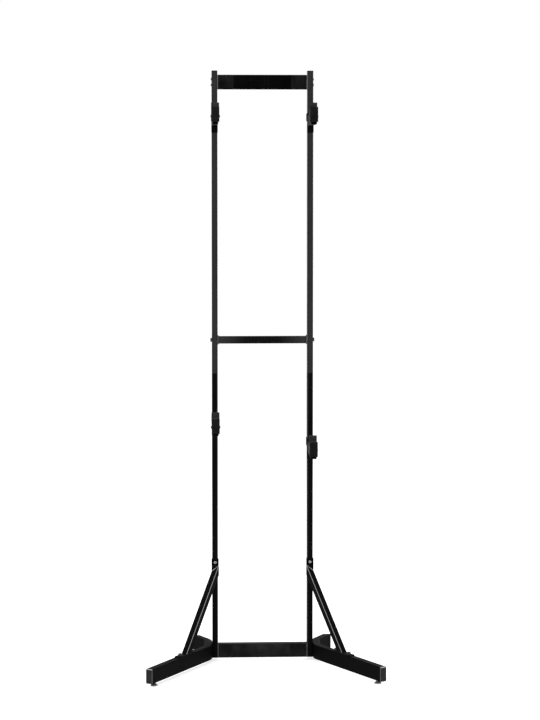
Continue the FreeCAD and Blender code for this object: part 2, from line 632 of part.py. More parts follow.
def make_mid_bar():
    """Middle bar with its end flanges and the bolts through the uprights."""
    body = new_body("mid_bar", "0", PLANE, "sizes.mid_bar_high")
    flange, size = "sizes.flange_plate", "sizes.mid_bar_size"
    block(body, (SPAN, size, size), (f"-{UPRIGHT_IN}", centred("0", size), centred("0", size)))
    round_edges(body, "sizes.tube_corner", lambda edge: runs(edge, X_AXIS))
    inner = f"{size} - 2 * sizes.mid_bar_wall"
    inner_span = f"{SPAN} - 2 * {flange}"
    low = f"-{UPRIGHT_IN}"
    block(body, (inner_span, inner, inner), (f"{low} + {flange}", centred("0", inner), centred("0", inner)),
          "Subtractive")
    for x in (low, f"{UPRIGHT_IN} - {flange}"):
        block(body, (flange, size, "sizes.flange_high"), (x, centred("0", size), centred("0", "sizes.flange_high")))
    for start, along in ((f"{low} + {flange}", "+x"), (f"{UPRIGHT_IN} - {flange}", "-x")):
        drum(body, "sizes.bolt_head_radius", "sizes.nut_high", (start, "0", "0"), along)
    reach = f"({flange} + sizes.nut_high)"
    for start, along in ((low, "+x"), (UPRIGHT_IN, "-x")):
        drum(body, "sizes.bolt_radius", f"{reach} + 2 * sizes.bolt_slack", (start, "0", "0"), along, "Subtractive")
    one = bolt("mid_bar_bolt", "sizes.bolt_head_radius", "sizes.bolt_head_high", "sizes.bolt_radius",
               f"sizes.upright_wide + {reach}", (UPRIGHT_OUT, PLANE, "sizes.mid_bar_high"), "-x")
    both_sides("mid_bar_bolts", [one])


HEADER_SCREW_Y = "(-sizes.header_front + sizes.header_deep / 2)"


def header_screw_levels():
    """Heights of the header's screws."""
    return f"{HEADER_LOW} + sizes.header_screw_edge", f"{HEADER_TOP} - sizes.header_screw_edge"


def make_header():
    """Header panel: folded sheet, open at the rear, with bare front, and its screws."""
    body = new_body("header_panel", "0", f"{PLANE} - sizes.header_front", HEADER_LOW)
    metal = "sizes.header_sheet"
    block(body, (SPAN, "sizes.header_deep", "sizes.header_high"), (f"-{UPRIGHT_IN}", "0", "0"))
    round_edges(body, "sizes.tube_corner", lambda edge: runs(edge, X_AXIS) and edge.Vertexes[0].Y < 1)
    block(body, (f"{SPAN} - 2 * {metal}", "sizes.header_deep", f"sizes.header_high - 2 * {metal}"),
          (f"-{UPRIGHT_IN} + {metal}", metal, metal), "Subtractive")
    screws = []
    reach = f"sizes.upright_wide + 4 * {metal}"
    for index, level in enumerate(header_screw_levels()):
        drum(body, "sizes.small_radius", SPAN,
             (f"-{UPRIGHT_IN}", "sizes.header_deep / 2", f"{level} - {HEADER_LOW}"), "+x", "Subtractive")
        screws.append(bolt(f"header_screw_{index}", "sizes.small_head_radius", "sizes.small_head_high",
                           "sizes.small_radius", reach, (UPRIGHT_OUT, f"{PLANE} + {HEADER_SCREW_Y}", level), "-x", True))
    both_sides("header_screws", screws)


def make_braces():
    """Diagonal braces with their foot plates, the brackets at their tops, and the bolts."""
    foot_x, foot_y = arm_point("sizes.brace_foot_along")
    foot_z = f"({LEG_TOP} + sizes.foot_plate)"
    plate_front = f"({PLANE} - {UPRIGHT_FRONT} - sizes.bracket_sheet)"
    run_x, run_y = f"({foot_x} - {UPRIGHT_X})", f"({plate_front} - {foot_y})"
    rise = f"(sizes.brace_top_high - {foot_z})"
    run = f"sqrt({run_x}^2 + {run_y}^2)"
    yaw, lean = f"atan2({run_x}; {run_y})", f"atan2({run}; {rise})"
    long = f"(sqrt({run_x}^2 + {run_y}^2 + {rise}^2))"
    spare = "(4 * sizes.brace_size)"

    tube = loose_body("brace_tube")
    rounded_tube(tube, "sizes.brace_size", "sizes.brace_size", f"({long} + 2 * {spare})", "sizes.brace_wall",
                 f"(-{spare})")
    turn_and_move(tube, (foot_x, foot_y, foot_z), yaw, "0", f"-{lean}")
    room = box("brace_room", ("sizes.upright_centres", f"{run_y} + {spare}", "sizes.seam_high"),
               ("0", f"{plate_front} - {run_y} - {spare}", foot_z))
    trimmed = group("MultiCommon", "brace_trimmed", [tube, room])
    back, fore = "sizes.foot_plate_back", "sizes.foot_plate_fore"
    plate = make("Box", "brace_foot_plate", Length="sizes.foot_plate_wide", Width=f"{back} + {fore}",
                 Height="sizes.foot_plate")
    move(plate, centred("0", "sizes.foot_plate_wide"), f"-({fore})", "0")
    holes = []
    for index, y in enumerate(("sizes.foot_bolt_back", "-sizes.foot_bolt_fore")):
        holes.append(rod(f"foot_plate_hole_{index}", "sizes.bolt_radius + sizes.bolt_slack", "3 * sizes.foot_plate",
                         ("0", y, "-sizes.foot_plate"), "+z"))
    drilled = cut("brace_foot_drilled", plate, group("MultiFuse", "foot_plate_holes", holes))
    turn_and_move(drilled, (foot_x, foot_y, LEG_TOP), "sizes.leg_splay")
    brace = keep(group("MultiFuse", "right_brace", [trimmed, drilled]), "right_brace")
    left_and_right("brace", brace)

    washer_high = "sizes.leg_wall"
    bolts = []
    for index, (x, y) in enumerate(foot_bolt_points()):
        screw = bolt(f"foot_plate_bolt_{index}", "sizes.bolt_head_radius", "sizes.bolt_head_high", "sizes.bolt_radius",
                     f"sizes.foot_plate + sizes.leg_wall * 2 + {washer_high}", ("0", "0", "0"), "+z")
        turn_and_move(screw, (x, y, f"{foot_z} + {washer_high}"), "sizes.leg_splay", "180")
        washer = rod(f"foot_plate_washer_{index}", "sizes.bolt_head_radius * 1.15", washer_high, (x, y, foot_z), "+z")
        bolts.append(group("MultiFuse", f"foot_bolt_{index}", [screw, washer]))
    both_sides("foot_plate_bolts", bolts)

    make_brackets()


def make_brackets():
    """Channels that hold the braces' tops round the uprights, and their bolts."""
    wide = "(sizes.upright_wide + 2 * sizes.bracket_sheet)"
    low = ("sizes.bracket_low",)
    front = f"{PLANE} - {UPRIGHT_FRONT} - sizes.bracket_sheet"
    outer = box("bracket_outside", (wide, "sizes.bracket_deep", "sizes.bracket_high"),
                (centred(UPRIGHT_X, wide), front, *low))
    inner = box("bracket_inside", ("sizes.upright_wide", "sizes.upright_deep", "sizes.bracket_high"),
                (centred(UPRIGHT_X, "sizes.upright_wide"), f"{PLANE} - {UPRIGHT_FRONT}", *low))
    channel = cut("bracket_channel", outer, inner)
    hole = rod("bracket_hole", "sizes.bolt_radius", "2 * sizes.bracket_sheet",
               (UPRIGHT_X, f"{front} - sizes.bolt_slack", "sizes.bracket_bolt_high"), "+y")
    both_sides("brace_brackets", [cut("brace_bracket", channel, hole)])
    screw = bolt("bracket_bolt", "sizes.small_head_radius", "sizes.small_head_high * 1.5", "sizes.bolt_radius",
                 "sizes.bracket_sheet + sizes.upright_wall + sizes.nut_high",
                 (UPRIGHT_X, front, "sizes.bracket_bolt_high"), "+y", True)
    both_sides("bracket_bolts", [screw])


UPPER_LIP = "(sizes.total_high - sizes.upper_lip_drop)"
SUPPORTS = (
    ("upper_left", -1, UPPER_LIP),
    ("upper_right", 1, UPPER_LIP),
    ("lower_left", -1, "sizes.lower_left_lip_high"),
    ("lower_right", 1, "sizes.lower_right_lip_high"),
)
CLAMP_Z = "(-sizes.collar_drop - sizes.collar_high / 2)"
PAD_FACE = f"({UPRIGHT_FRONT} + sizes.slide_gap)"
PAD_REAR = f"({PAD_FACE} + sizes.clamp_pad_thick)"
COLLAR_REAR_IN = f"({PAD_REAR} + sizes.clamp_travel + sizes.clamp_spare)"
COLLAR_REAR = f"({COLLAR_REAR_IN} + sizes.collar_back)"
HANDLE_FACE = f"({COLLAR_REAR} + sizes.weld_nut_high + sizes.handle_gap)"
TROUGH_OUTER = "(sizes.trough_radius + sizes.pad_thick)"
TROUGH_Y = f"(-sizes.cradle_reach + sizes.cradle_wall + {TROUGH_OUTER})"
ARM_TOP = f"(sizes.trough_rise - {TROUGH_OUTER} - sizes.cradle_floor)"


def make_arm(label, *place):
    """Collar round the upright, bearing plate, forward arm and the stud's weld nut, welded together."""
    body = new_body(f"{label}_arm", *place)
    inner_wide = "(sizes.upright_wide + 2 * sizes.slide_gap)"
    outer_wide = f"({inner_wide} + 2 * sizes.collar_wall)"
    plate_rear = f"(-{UPRIGHT_FRONT} - sizes.slide_gap)"
    plate_front = f"({plate_rear} - sizes.bearing_plate)"
    band_low = "-sizes.collar_drop - sizes.collar_high"
    block(body, (outer_wide, f"{COLLAR_REAR} - {plate_front}", "sizes.collar_high"),
          (centred("0", outer_wide), plate_front, band_low))
    round_edges(body, "sizes.collar_wall", lambda edge: runs(edge, Z_AXIS))
    block(body, ("sizes.bearing_plate_wide", "sizes.bearing_plate", "sizes.bearing_drop - sizes.collar_drop"),
          (centred("0", "sizes.bearing_plate_wide"), plate_front, "-sizes.bearing_drop"))
    arm_long = f"(sizes.cradle_reach - sizes.apron_thick + {plate_front})"
    arm_low = f"{ARM_TOP} - sizes.arm_high"
    arm_front = "(-sizes.cradle_reach + sizes.apron_thick)"
    block(body, ("sizes.arm_wide", arm_long, "sizes.arm_high"), (centred("0", "sizes.arm_wide"), arm_front, arm_low))
    round_edges(body, "sizes.tube_corner", lambda edge: runs(edge, Y_AXIS) and edge.Length > number(arm_long) * 0.9)
    block(body, (inner_wide, f"{COLLAR_REAR_IN} - {plate_rear}", "sizes.bearing_drop"),
          (centred("0", inner_wide), plate_rear, "-sizes.bearing_drop"), "Subtractive")
    hollow = "sizes.arm_wide - 2 * sizes.arm_wall"
    block(body, (hollow, arm_long, "sizes.arm_high - 2 * sizes.arm_wall"),
          (centred("0", hollow), arm_front, f"{arm_low} + sizes.arm_wall"), "Subtractive")
    drum(body, "sizes.weld_nut_radius", "sizes.weld_nut_high", ("0", COLLAR_REAR, CLAMP_Z), "+y")
    drum(body, "sizes.stud_radius + sizes.stud_gap", f"2 * sizes.collar_back + sizes.weld_nut_high",
         ("0", f"{COLLAR_REAR_IN} - sizes.collar_back / 2", CLAMP_Z), "+y", "Subtractive")
    for x, along in (("sizes.arm_wide / 2 + sizes.arm_wall", "-x"), ("-sizes.arm_wide / 2 - sizes.arm_wall", "+x")):
        drum(body, "sizes.small_radius", "sizes.arm_wall * 2.5",
             (x, TROUGH_Y, f"{ARM_TOP} - sizes.saddle_screw_drop"), along, "Subtractive")


def make_cradle(label, *place):
    """Plastic cradle: front apron with ribs, trough, rear lip and skirts over the arm."""
    body = new_body(f"{label}_cradle", *place)
    front, rear = "-sizes.cradle_reach", f"({TROUGH_Y} + {TROUGH_OUTER} + sizes.cradle_wall)"
    trough_front = f"({TROUGH_Y} - sqrt({TROUGH_OUTER}^2 - sizes.trough_rise^2))"
    trough_back = f"({TROUGH_Y} + {TROUGH_OUTER})"
    inner = f"({front} + sizes.apron_thick)"
    profile = new_sketch(body, "YZ_Plane", f"{label}_cradle_outline")
    outline(profile, (
        (front, "-sizes.apron_high"),
        (inner, "-sizes.apron_high"),
        (inner, ARM_TOP),
        (rear, ARM_TOP),
        (rear, "sizes.back_rise"),
        (trough_back, "sizes.back_rise"),
        (trough_back, "sizes.trough_rise", f"-{TROUGH_OUTER}"),
        (trough_front, "0"),
        (front, "0"),
    ))
    pad_across(body, profile, "sizes.cradle_wide")
    skirt_long = f"{rear} - {inner}"
    block(body, ("sizes.cradle_wide", skirt_long, "sizes.saddle_drop"),
          (centred("0", "sizes.cradle_wide"), inner, f"{ARM_TOP} - sizes.saddle_drop"))
    channel = "sizes.arm_wide + 2 * sizes.saddle_gap"
    block(body, (channel, f"{skirt_long} + sizes.cradle_wall", "sizes.saddle_drop"),
          (centred("0", channel), inner, f"{ARM_TOP} - sizes.saddle_drop"), "Subtractive")
    rib_high = "sizes.apron_high - sizes.cradle_wall"
    for side in ("-", ""):
        block(body, ("sizes.rib_wide", "sizes.rib_proud + 1", rib_high),
              (f"{side}sizes.rib_spread / 2 - sizes.rib_wide / 2", f"{front} - sizes.rib_proud", "-sizes.apron_high"))
    for x, along in (("sizes.cradle_wide / 2 + 1", "-x"), ("-sizes.cradle_wide / 2 - 1", "+x")):
        drum(body, "sizes.small_radius", "(sizes.cradle_wide - sizes.arm_wide) / 2 + 2",
             (x, TROUGH_Y, f"{ARM_TOP} - sizes.saddle_screw_drop"), along, "Subtractive")


def make_cradle_pad(label, *place):
    """Rubber pad that lines the trough."""
    body = new_body(f"{label}_cradle_pad", *place)
    inner, outer = "sizes.trough_radius", TROUGH_OUTER
    profile = new_sketch(body, "YZ_Plane", f"{label}_pad_outline")
    outline(profile, (
        (f"{TROUGH_Y} - sqrt({inner}^2 - sizes.trough_rise^2)", "0", inner),
        (f"{TROUGH_Y} + {inner}", "sizes.trough_rise"),
        (f"{TROUGH_Y} + {inner}", "sizes.back_rise"),
        (f"{TROUGH_Y} + {outer}", "sizes.back_rise"),
        (f"{TROUGH_Y} + {outer}", "sizes.trough_rise", f"-{outer}"),
        (f"{TROUGH_Y} - sqrt({outer}^2 - sizes.trough_rise^2)", "0"),
    ))
    pad_across(body, profile, "sizes.cradle_wide - 2 * sizes.pad_inset")


def make_cradle_screws(label, x, y, z):
    """The two screws that hold a cradle's skirts on its arm."""
    screws = []
    for name, side, along in (("outer", "+", "-x"), ("inner", "-", "+x")):
        reach = "(sizes.cradle_wide - sizes.arm_wide) / 2 + sizes.arm_wall * 1.5"
        place = (f"{x} {side} sizes.cradle_wide / 2", f"{y} + {TROUGH_Y}",
                 f"{z} + {ARM_TOP} - sizes.saddle_screw_drop")
        screws.append(bolt(f"{label}_screw_{name}", "sizes.small_head_radius", "sizes.small_head_high",
                           "sizes.small_radius", reach, place, along, True))
    keep(group("Compound", f"{label}_cradle_screws", screws), f"{label}_cradle_screws")


def make_clamp(label, *place):
    """Pressure pad, threaded stud and cross handle behind the upright."""
    pad = new_body(f"{label}_pressure_pad", *place)
    block(pad, ("sizes.clamp_pad_wide", "sizes.clamp_pad_thick", "sizes.clamp_pad_high"),
          (centred("0", "sizes.clamp_pad_wide"), PAD_FACE, centred(CLAMP_Z, "sizes.clamp_pad_high")))
    seat = f"{PAD_REAR} - sizes.socket_deep"
    drum(pad, "sizes.stud_radius + sizes.stud_gap", "sizes.socket_deep * 2", ("0", seat, CLAMP_Z), "+y", "Subtractive")

    stud = new_body(f"{label}_clamp_stud", *place)
    stud_start = f"({seat} + sizes.stud_end_gap)"
    stud_end = f"({HANDLE_FACE} + sizes.handle_hub_long * 0.75)"
    drum(stud, "sizes.stud_radius", f"{stud_end} - {stud_start}", ("0", stud_start, CLAMP_Z), "+y")

    handle = new_body(f"{label}_clamp_handle", *place)
    drum(handle, "sizes.handle_hub_radius", "sizes.handle_hub_long", ("0", HANDLE_FACE, CLAMP_Z), "+y")
    bar = "sizes.handle_bar_size"
    block(handle, (bar, "sizes.handle_hub_long * 0.6", "sizes.handle_bar_long"),
          (centred("0", bar), f"{HANDLE_FACE} + sizes.handle_hub_long * 0.4",
           centred(CLAMP_Z, "sizes.handle_bar_long")))
    reach = number("sizes.handle_bar_long / 2") - 0.1
    round_edges(handle, f"{bar} * 0.35", lambda edge: runs(edge, Y_AXIS)
                and abs(edge.Vertexes[0].Z - number(CLAMP_Z)) > reach)
    drum(handle, "sizes.stud_radius", f"{stud_end} - {HANDLE_FACE}", ("0", HANDLE_FACE, CLAMP_Z), "+y", "Subtractive")


def make_supports():
    """The four bike supports, alike but for their height and side."""
    for label, side, lip in SUPPORTS:
        place = (f"{side} * {UPRIGHT_X}", PLANE, lip)
        make_arm(label, *place)
        make_cradle(label, *place)
        make_cradle_pad(label, *place)
        make_cradle_screws(label, *place)
        make_clamp(label, *place)


def make_foot(label, x, y):
    """A swivelling floor pad and its levelling stud."""
    pad = new_body(f"{label}_foot_pad", x, y, "0")
    drum(pad, "sizes.foot_pad_radius", "sizes.foot_rim_high", ("0", "0", "0"))
    add(pad, "Cone", {"Radius1": "sizes.foot_pad_radius", "Radius2": "sizes.foot_neck_radius",
                      "Height": "sizes.foot_pad_high - sizes.foot_rim_high"}, ("0", "0", "sizes.foot_rim_high"))
    seat = "(sizes.foot_pad_high - sizes.socket_deep)"
    drum(pad, "sizes.stud_radius + sizes.stud_gap", "sizes.socket_deep * 2", ("0", "0", seat), "+z", "Subtractive")
    stud = new_body(f"{label}_foot_stud", x, y, f"{seat} + sizes.stud_end_gap")
    drum(stud, "sizes.stud_radius", "sizes.foot_stud_long", ("0", "0", "0"))
    hexagon = add(stud, "Prism", {"Circumradius": "sizes.foot_hex_radius", "Height": "sizes.foot_hex_high"},
                  ("0", "0", "sizes.socket_deep - sizes.stud_end_gap + sizes.slide_gap"))
    hexagon.Polygon = 6


def make_feet():
    """Four levelling feet."""
    front, rear = foot_points()
    for name, (x, y) in (("front", front), ("rear", rear)):
        make_foot(f"{name}_right", x, y)
        make_foot(f"{name}_left", f"-{x}", y)


def check(things):
    """Stop if any object failed or any piece is empty or broken."""
    for thing in doc.Objects:
        if {"Invalid", "Error"} & set(thing.State):
            raise RuntimeError(f"{thing.Label} failed: {thing.State}")
    for thing in things:
        if thing.Shape.isNull() or not thing.Shape.isValid() or not thing.Shape.Solids:
            raise RuntimeError(f"{thing.Label} has no valid solid")


def main():
    """Build every piece and write one STEP file for each."""
    make_uprights()
    make_splices()
    make_legs()
    make_leg_caps()
    make_crossbar()
    make_mid_bar()
    make_header()
    make_braces()
    make_supports()
    make_feet()
    doc.recompute()
    check(nodes)
    os.makedirs("parts", exist_ok=True)
    for thing in nodes:
        thing.Shape.exportStep(f"parts/{thing.Label}.step")
    print(len(nodes), "nodes,", sum(len(thing.Shape.Solids) for thing in nodes), "solids")


main()
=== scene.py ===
"""Looks of the bike storage tower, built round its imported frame. Metres, +Z is up and the front is -Y."""

import logging
import math
from dataclasses import dataclass
from enum import Enum
from typing import Callable, Sequence

import bmesh
import bpy
from mathutils import Euler, Matrix, Vector


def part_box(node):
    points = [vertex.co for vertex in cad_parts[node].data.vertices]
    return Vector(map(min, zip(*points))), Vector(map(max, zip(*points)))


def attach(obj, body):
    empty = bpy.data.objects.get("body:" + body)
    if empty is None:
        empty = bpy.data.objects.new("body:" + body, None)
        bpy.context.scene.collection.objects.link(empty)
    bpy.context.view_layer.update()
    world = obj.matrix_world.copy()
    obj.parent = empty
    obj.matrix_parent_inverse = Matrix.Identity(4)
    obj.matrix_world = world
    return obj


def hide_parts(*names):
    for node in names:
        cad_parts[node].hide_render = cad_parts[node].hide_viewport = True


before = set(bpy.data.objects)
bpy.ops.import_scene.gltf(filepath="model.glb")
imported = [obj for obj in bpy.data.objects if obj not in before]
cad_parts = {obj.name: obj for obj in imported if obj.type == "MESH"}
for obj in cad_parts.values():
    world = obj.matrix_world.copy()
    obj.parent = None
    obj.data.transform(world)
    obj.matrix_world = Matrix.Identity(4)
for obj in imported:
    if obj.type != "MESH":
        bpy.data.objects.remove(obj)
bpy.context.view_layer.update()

log = logging.getLogger("tower")
MM = 0.001
Colour = tuple[float, float, float]
Point = tuple[float, float]
CORNERS = ((-1, -1), (1, -1), (1, 1), (-1, 1))


def grey(tone: float) -> Colour:
    """A neutral colour."""
    return tone, tone, tone


class Side(Enum):
    """The two sides of the stand, seen from the front."""

    LEFT = -1
    RIGHT = 1

    @property
    def word(self) -> str:
        """The side as the nodes' names spell it."""
        return self.name.lower()

    def place(self, x: float, y: float, z: float) -> Vector:
        """A point of the right side, brought to this side."""
        return Vector((self.value * x, y, z))


class Facing(Enum):
    """Where a bolt's head looks, as the turn that brings +Z there."""

    FRONT = (math.pi / 2, 0.0, 0.0)
    LEFT = (0.0, -math.pi / 2, 0.0)
    RIGHT = (0.0, math.pi / 2, 0.0)


class Plane(Enum):
    """Plane of an outline: its two axes, then the axis that it is drawn out along."""

    YZ = (1, 2, 0)
    XZ = (0, 2, 1)
    XY = (0, 1, 2)

    def point(self, first: float, second: float, out: float) -> Vector:
        """A point from its place in the plane and its place along the third axis."""
        place = Vector()
        for axis, value in zip(self.value, (first, second, out)):
            place[axis] = value
        return place


class Value:
    """A number that a shader works out; Python's arithmetic on it adds Math nodes."""

    def __init__(self, shader: "Shader", socket: bpy.types.NodeSocket) -> None:
        """Keep the socket and the shader that it belongs to."""
        self.shader = shader
        self.socket = socket

    def _math(self, operation: str, first: "Value | float", second: "Value | float" = 0.0) -> "Value":
        """One Math node on two operands."""
        return self.shader.node("ShaderNodeMath", {0: first, 1: second}, operation=operation)

    def __add__(self, other: "Value | float") -> "Value":
        """Sum."""
        return self._math("ADD", self, other)

    __radd__ = __add__

    def __mul__(self, other: "Value | float") -> "Value":
        """Product."""
        return self._math("MULTIPLY", self, other)

    __rmul__ = __mul__

    def __sub__(self, other: "Value | float") -> "Value":
        """Difference."""
        return self._math("SUBTRACT", self, other)

    def __rsub__(self, other: "Value | float") -> "Value":
        """Difference with the operands the other way round."""
        return self._math("SUBTRACT", other, self)

    def at_most(self, limit: "Value | float") -> "Value":
        """The lesser of this value and a limit."""
        return self._math("MINIMUM", self, limit)

    def between(self, low: float, high: float) -> "Value":
        """This value's place between low and high, from 0 to 1."""
        return self.shader.node("ShaderNodeMapRange", {"Value": self, "From Min": low, "From Max": high})


class NodeTree:
    """A tree of shader nodes, written as expressions."""

    def __init__(self, tree: bpy.types.NodeTree) -> None:
        """Start with an empty tree."""
        self.tree = tree
        self.tree.nodes.clear()

    def feed(self, socket: bpy.types.NodeSocket, value: object) -> None:
        """Link a value to a socket, or set the socket to it."""
        if isinstance(value, Value):
            self.tree.links.new(value.socket, socket)
        elif isinstance(value, tuple) and len(value) == 3 and socket.type == "RGBA":
            socket.default_value = (*value, 1.0)
        else:
            socket.default_value = value

    def node(self, kind: str, inputs: dict | None = None, output: int | str = 0, **settings: object) -> Value:
        """Add any other node.

        Args:
            kind: The node's type.
            inputs: Values or links of its sockets, by name or number.
            output: The output socket wanted.
            **settings: The node's own settings, which are set first.

        Returns:
            The output socket as a value.
        """
        made = self.tree.nodes.new(kind)
        stops = settings.pop("stops", ())
        for name, setting in settings.items():
            setattr(made, name, setting)
        for element, (place, colour) in zip(made.color_ramp.elements if stops else (), stops):
            element.position = place
            element.color = (*colour, 1.0)
        for name, value in (inputs or {}).items():
            self.feed(made.inputs[name], value)
        return Value(self, made.outputs[output])

    def background_seen(self) -> Value:
        """1 for the rays that show a background: those of the camera, of gloss and of glass."""
        path = self.tree.nodes.new("ShaderNodeLightPath")
        rays = [Value(self, path.outputs[f"Is {kind} Ray"]) for kind in ("Camera", "Glossy", "Transmission")]
        return (rays[0] + rays[1] + rays[2]).at_most(1.0)


class Shader(NodeTree):
    """A material with one Principled surface."""

    def __init__(self, name: str) -> None:
        """Start a material that shows a plain surface.

        Args:
            name: The material's name.
        """
        self.material = bpy.data.materials.new(name)
        self.material.use_nodes = True
        super().__init__(self.material.node_tree)
        output = self.tree.nodes.new("ShaderNodeOutputMaterial")
        self.surface = self.tree.nodes.new("ShaderNodeBsdfPrincipled")
        self.tree.links.new(self.surface.outputs["BSDF"], output.inputs["Surface"])

    def place(self, scale: Colour = (1.0, 1.0, 1.0)) -> Value:
        """Object coordinates, stretched along the axes."""
        where = self.node("ShaderNodeTexCoord", output="Object")
        return self.node("ShaderNodeVectorMath", {0: where, 1: scale}, operation="MULTIPLY")

    def noise(self, scale: float, detail: float = 2.0, stretch: Colour = (1.0, 1.0, 1.0)) -> Value:
        """Noise of so many cells per metre."""
        inputs = {"Vector": self.place(stretch), "Scale": scale, "Detail": detail}
        return self.node("ShaderNodeTexNoise", inputs)

    def cells(self, scale: float) -> Value:
        """Distance to the nearest cell centre, for grains."""
        return self.node("ShaderNodeTexVoronoi", {"Vector": self.place(), "Scale": scale})

    def blend(self, factor: Value | float, first: Colour | Value, second: Colour | Value) -> Value:
        """A colour between two."""
        made = self.tree.nodes.new("ShaderNodeMix")
        made.data_type = "RGBA"
        colours = [socket for socket in made.inputs if socket.type == "RGBA"]
        self.feed(made.inputs[0], factor)
        self.feed(colours[0], first)
        self.feed(colours[1], second)
        return Value(self, next(socket for socket in made.outputs if socket.type == "RGBA"))

    def vector(self, operation: str, first: Value, second: Value | Colour, output: str = "Vector") -> Value:
        """One Vector Math node on two vectors."""
        return self.node("ShaderNodeVectorMath", {0: first, 1: second}, output=output, operation=operation)

    def one_sided_place(self) -> Value:
        """Object coordinates with the left half of the stand folded onto the right one."""
        where = self.place()
        aside = self.vector("ABSOLUTE", where, (0.0, 0.0, 0.0))
        across = self.vector("MULTIPLY", aside, (1.0, 0.0, 0.0))
        rest = self.vector("MULTIPLY", where, (0.0, 1.0, 1.0))
        return self.vector("ADD", across, rest)

    def near_line(self, start: Colour, end: Colour, half_width: float) -> Value:
        """Mask of a straight line on both sides of the stand, soft at its borders and ends.

        Args:
            start: One end of the line, on the right side.
            end: The other end.
            half_width: How far from the line the mask reaches.

        Returns:
            1 on the line and 0 away from it.
        """
        way = Vector(end) - Vector(start)
        from_start = self.vector("SUBTRACT", self.one_sided_place(), start)
        off_line = self.vector("CROSS_PRODUCT", from_start, tuple(way.normalized()))
        distance = self.node("ShaderNodeVectorMath", {0: off_line}, output="Value", operation="LENGTH")
        along = self.vector("DOT_PRODUCT", from_start, tuple(way.normalized()), "Value")
        inside = along.between(-half_width, 0.0) * (1.0 - along.between(way.length, way.length + half_width))
        return (1.0 - distance.between(half_width * 0.45, half_width)) * inside

    def near_box(self, low: Colour, high: Colour, border: float) -> Value:
        """Mask of a box on both sides of the stand, with a soft border outside it.

        Args:
            low: Lowest corner, on the right side.
            high: Highest corner.
            border: How far outside the box the mask fades out.

        Returns:
            1 in the box and 0 away from it.
        """
        centre = (Vector(low) + Vector(high)) / 2
        half = (Vector(high) - Vector(low)) / 2
        off_centre = self.vector("SUBTRACT", self.one_sided_place(), tuple(centre))
        beyond = self.vector("SUBTRACT", self.vector("ABSOLUTE", off_centre, (0.0, 0.0, 0.0)), tuple(half))
        outside = self.vector("MAXIMUM", beyond, (0.0, 0.0, 0.0))
        distance = self.node("ShaderNodeVectorMath", {0: outside}, output="Value", operation="LENGTH")
        return 1.0 - distance.between(0.0, border)

    def facing_up(self) -> Value:
        """1 on faces that look up, 0 on upright ones."""
        normal = self.node("ShaderNodeNewGeometry", output="Normal")
        return self.vector("DOT_PRODUCT", normal, (0.0, 0.0, 1.0), "Value").between(0.2, 0.8)

    def rounded(self, radius: float) -> Value:
        """Normals that round every edge off by a radius."""
        return self.node("ShaderNodeBevel", {"Radius": radius}, samples=6)

    def edges(self, radius: float) -> Value:
        """Mask that is 1 on the edges and 0 on the faces."""
        true_normal = self.node("ShaderNodeNewGeometry", output="Normal")
        inputs = {0: self.rounded(radius), 1: true_normal}
        alike = self.node("ShaderNodeVectorMath", inputs, output="Value", operation="DOT_PRODUCT")
        return (1.0 - alike).between(0.0, 0.25)

    def marked(self, tone: Value, marks: Sequence["Mark"], patchy: Value | float = 1.0) -> Value:
        """A colour with marks laid over it."""
        for mark in marks:
            tone = self.blend(mark.mask(self) * patchy, tone, mark.colour)
        return tone

    def bump(self, height: Value, depth: float, normal: Value | None = None) -> Value:
        """Normals of a relief, in metres of depth."""
        inputs = {"Height": height, "Distance": depth, "Strength": 1.0}
        if normal:
            inputs["Normal"] = normal
        return self.node("ShaderNodeBump", inputs)

    def dress(
        self, sheen: dict[str, float] | None = None, **links: Value | float | Colour
    ) -> bpy.types.Material:
        """Give the surface its values.

        Args:
            sheen: Plain numbers for sockets whose names have spaces, such as the specular level.
            **links: base_color, roughness, metallic or normal.

        Returns:
            The finished material.
        """
        for name, value in links.items():
            self.feed(self.surface.inputs[name.replace("_", " ").title()], value)
        for name, value in (sheen or {}).items():
            self.surface.inputs[name].default_value = value
        return self.material


@dataclass(frozen=True)
class Mark:
    """A paler or darker place on a coat: a straight line or a box, the same on both sides of the stand."""

    low: Colour
    high: Colour
    reach: float
    colour: Colour
    strength: float = 1.0
    line: bool = True

    def mask(self, shader: Shader) -> Value:
        """Where the mark shows."""
        where = shader.near_line if self.line else shader.near_box
        return where(self.low, self.high, self.reach) * self.strength


@dataclass(frozen=True)
class PowderCoat:
    """Black powder coat: a fine orange peel, faint dust, and edges painted brighter as a highlight, broken up
    like wear.
    """

    name: str = "black_powder_coat"
    colour: Colour = (0.0085, 0.0085, 0.0095)
    dusty: Colour = (0.022, 0.022, 0.023)
    # Colour of the painted highlight along the edges.
    worn: Colour = (0.060, 0.060, 0.063)
    roughness: float = 0.38
    gloss: float = 0.16
    peel: float = 0.00006
    mottle: float = 0.35
    brushed: Colour = (1.0, 1.0, 0.12)
    marks: tuple[Mark, ...] = ()

    def material(self) -> bpy.types.Material:
        """The finished material."""
        shader = Shader(self.name)
        clouds = shader.noise(14.0, 4.0).between(0.42, 0.72)
        streaks = shader.noise(60.0, 3.0, self.brushed).between(0.5, 0.8)
        edge = shader.edges(0.0012)
        chips = shader.noise(420.0, 3.0).between(0.45, 0.7)
        tone = shader.blend(clouds * self.mottle + streaks * 0.3, self.colour, self.dusty)
        # Painted highlight: edges lighter, broken up by chips.
        tone = shader.blend(edge * (0.35 + chips * 0.5), tone, self.worn)
        tone = shader.marked(tone, self.marks, 0.7 + chips * 0.3)
        grain = shader.noise(1500.0, 2.0) + shader.cells(900.0) * 0.5
        return shader.dress(
            {"Specular IOR Level": self.gloss},
            base_color=tone,
            roughness=self.roughness + clouds * 0.10 + streaks * 0.05 - edge * 0.06,
            normal=shader.bump(grain, self.peel, shader.rounded(0.0010)),
        )


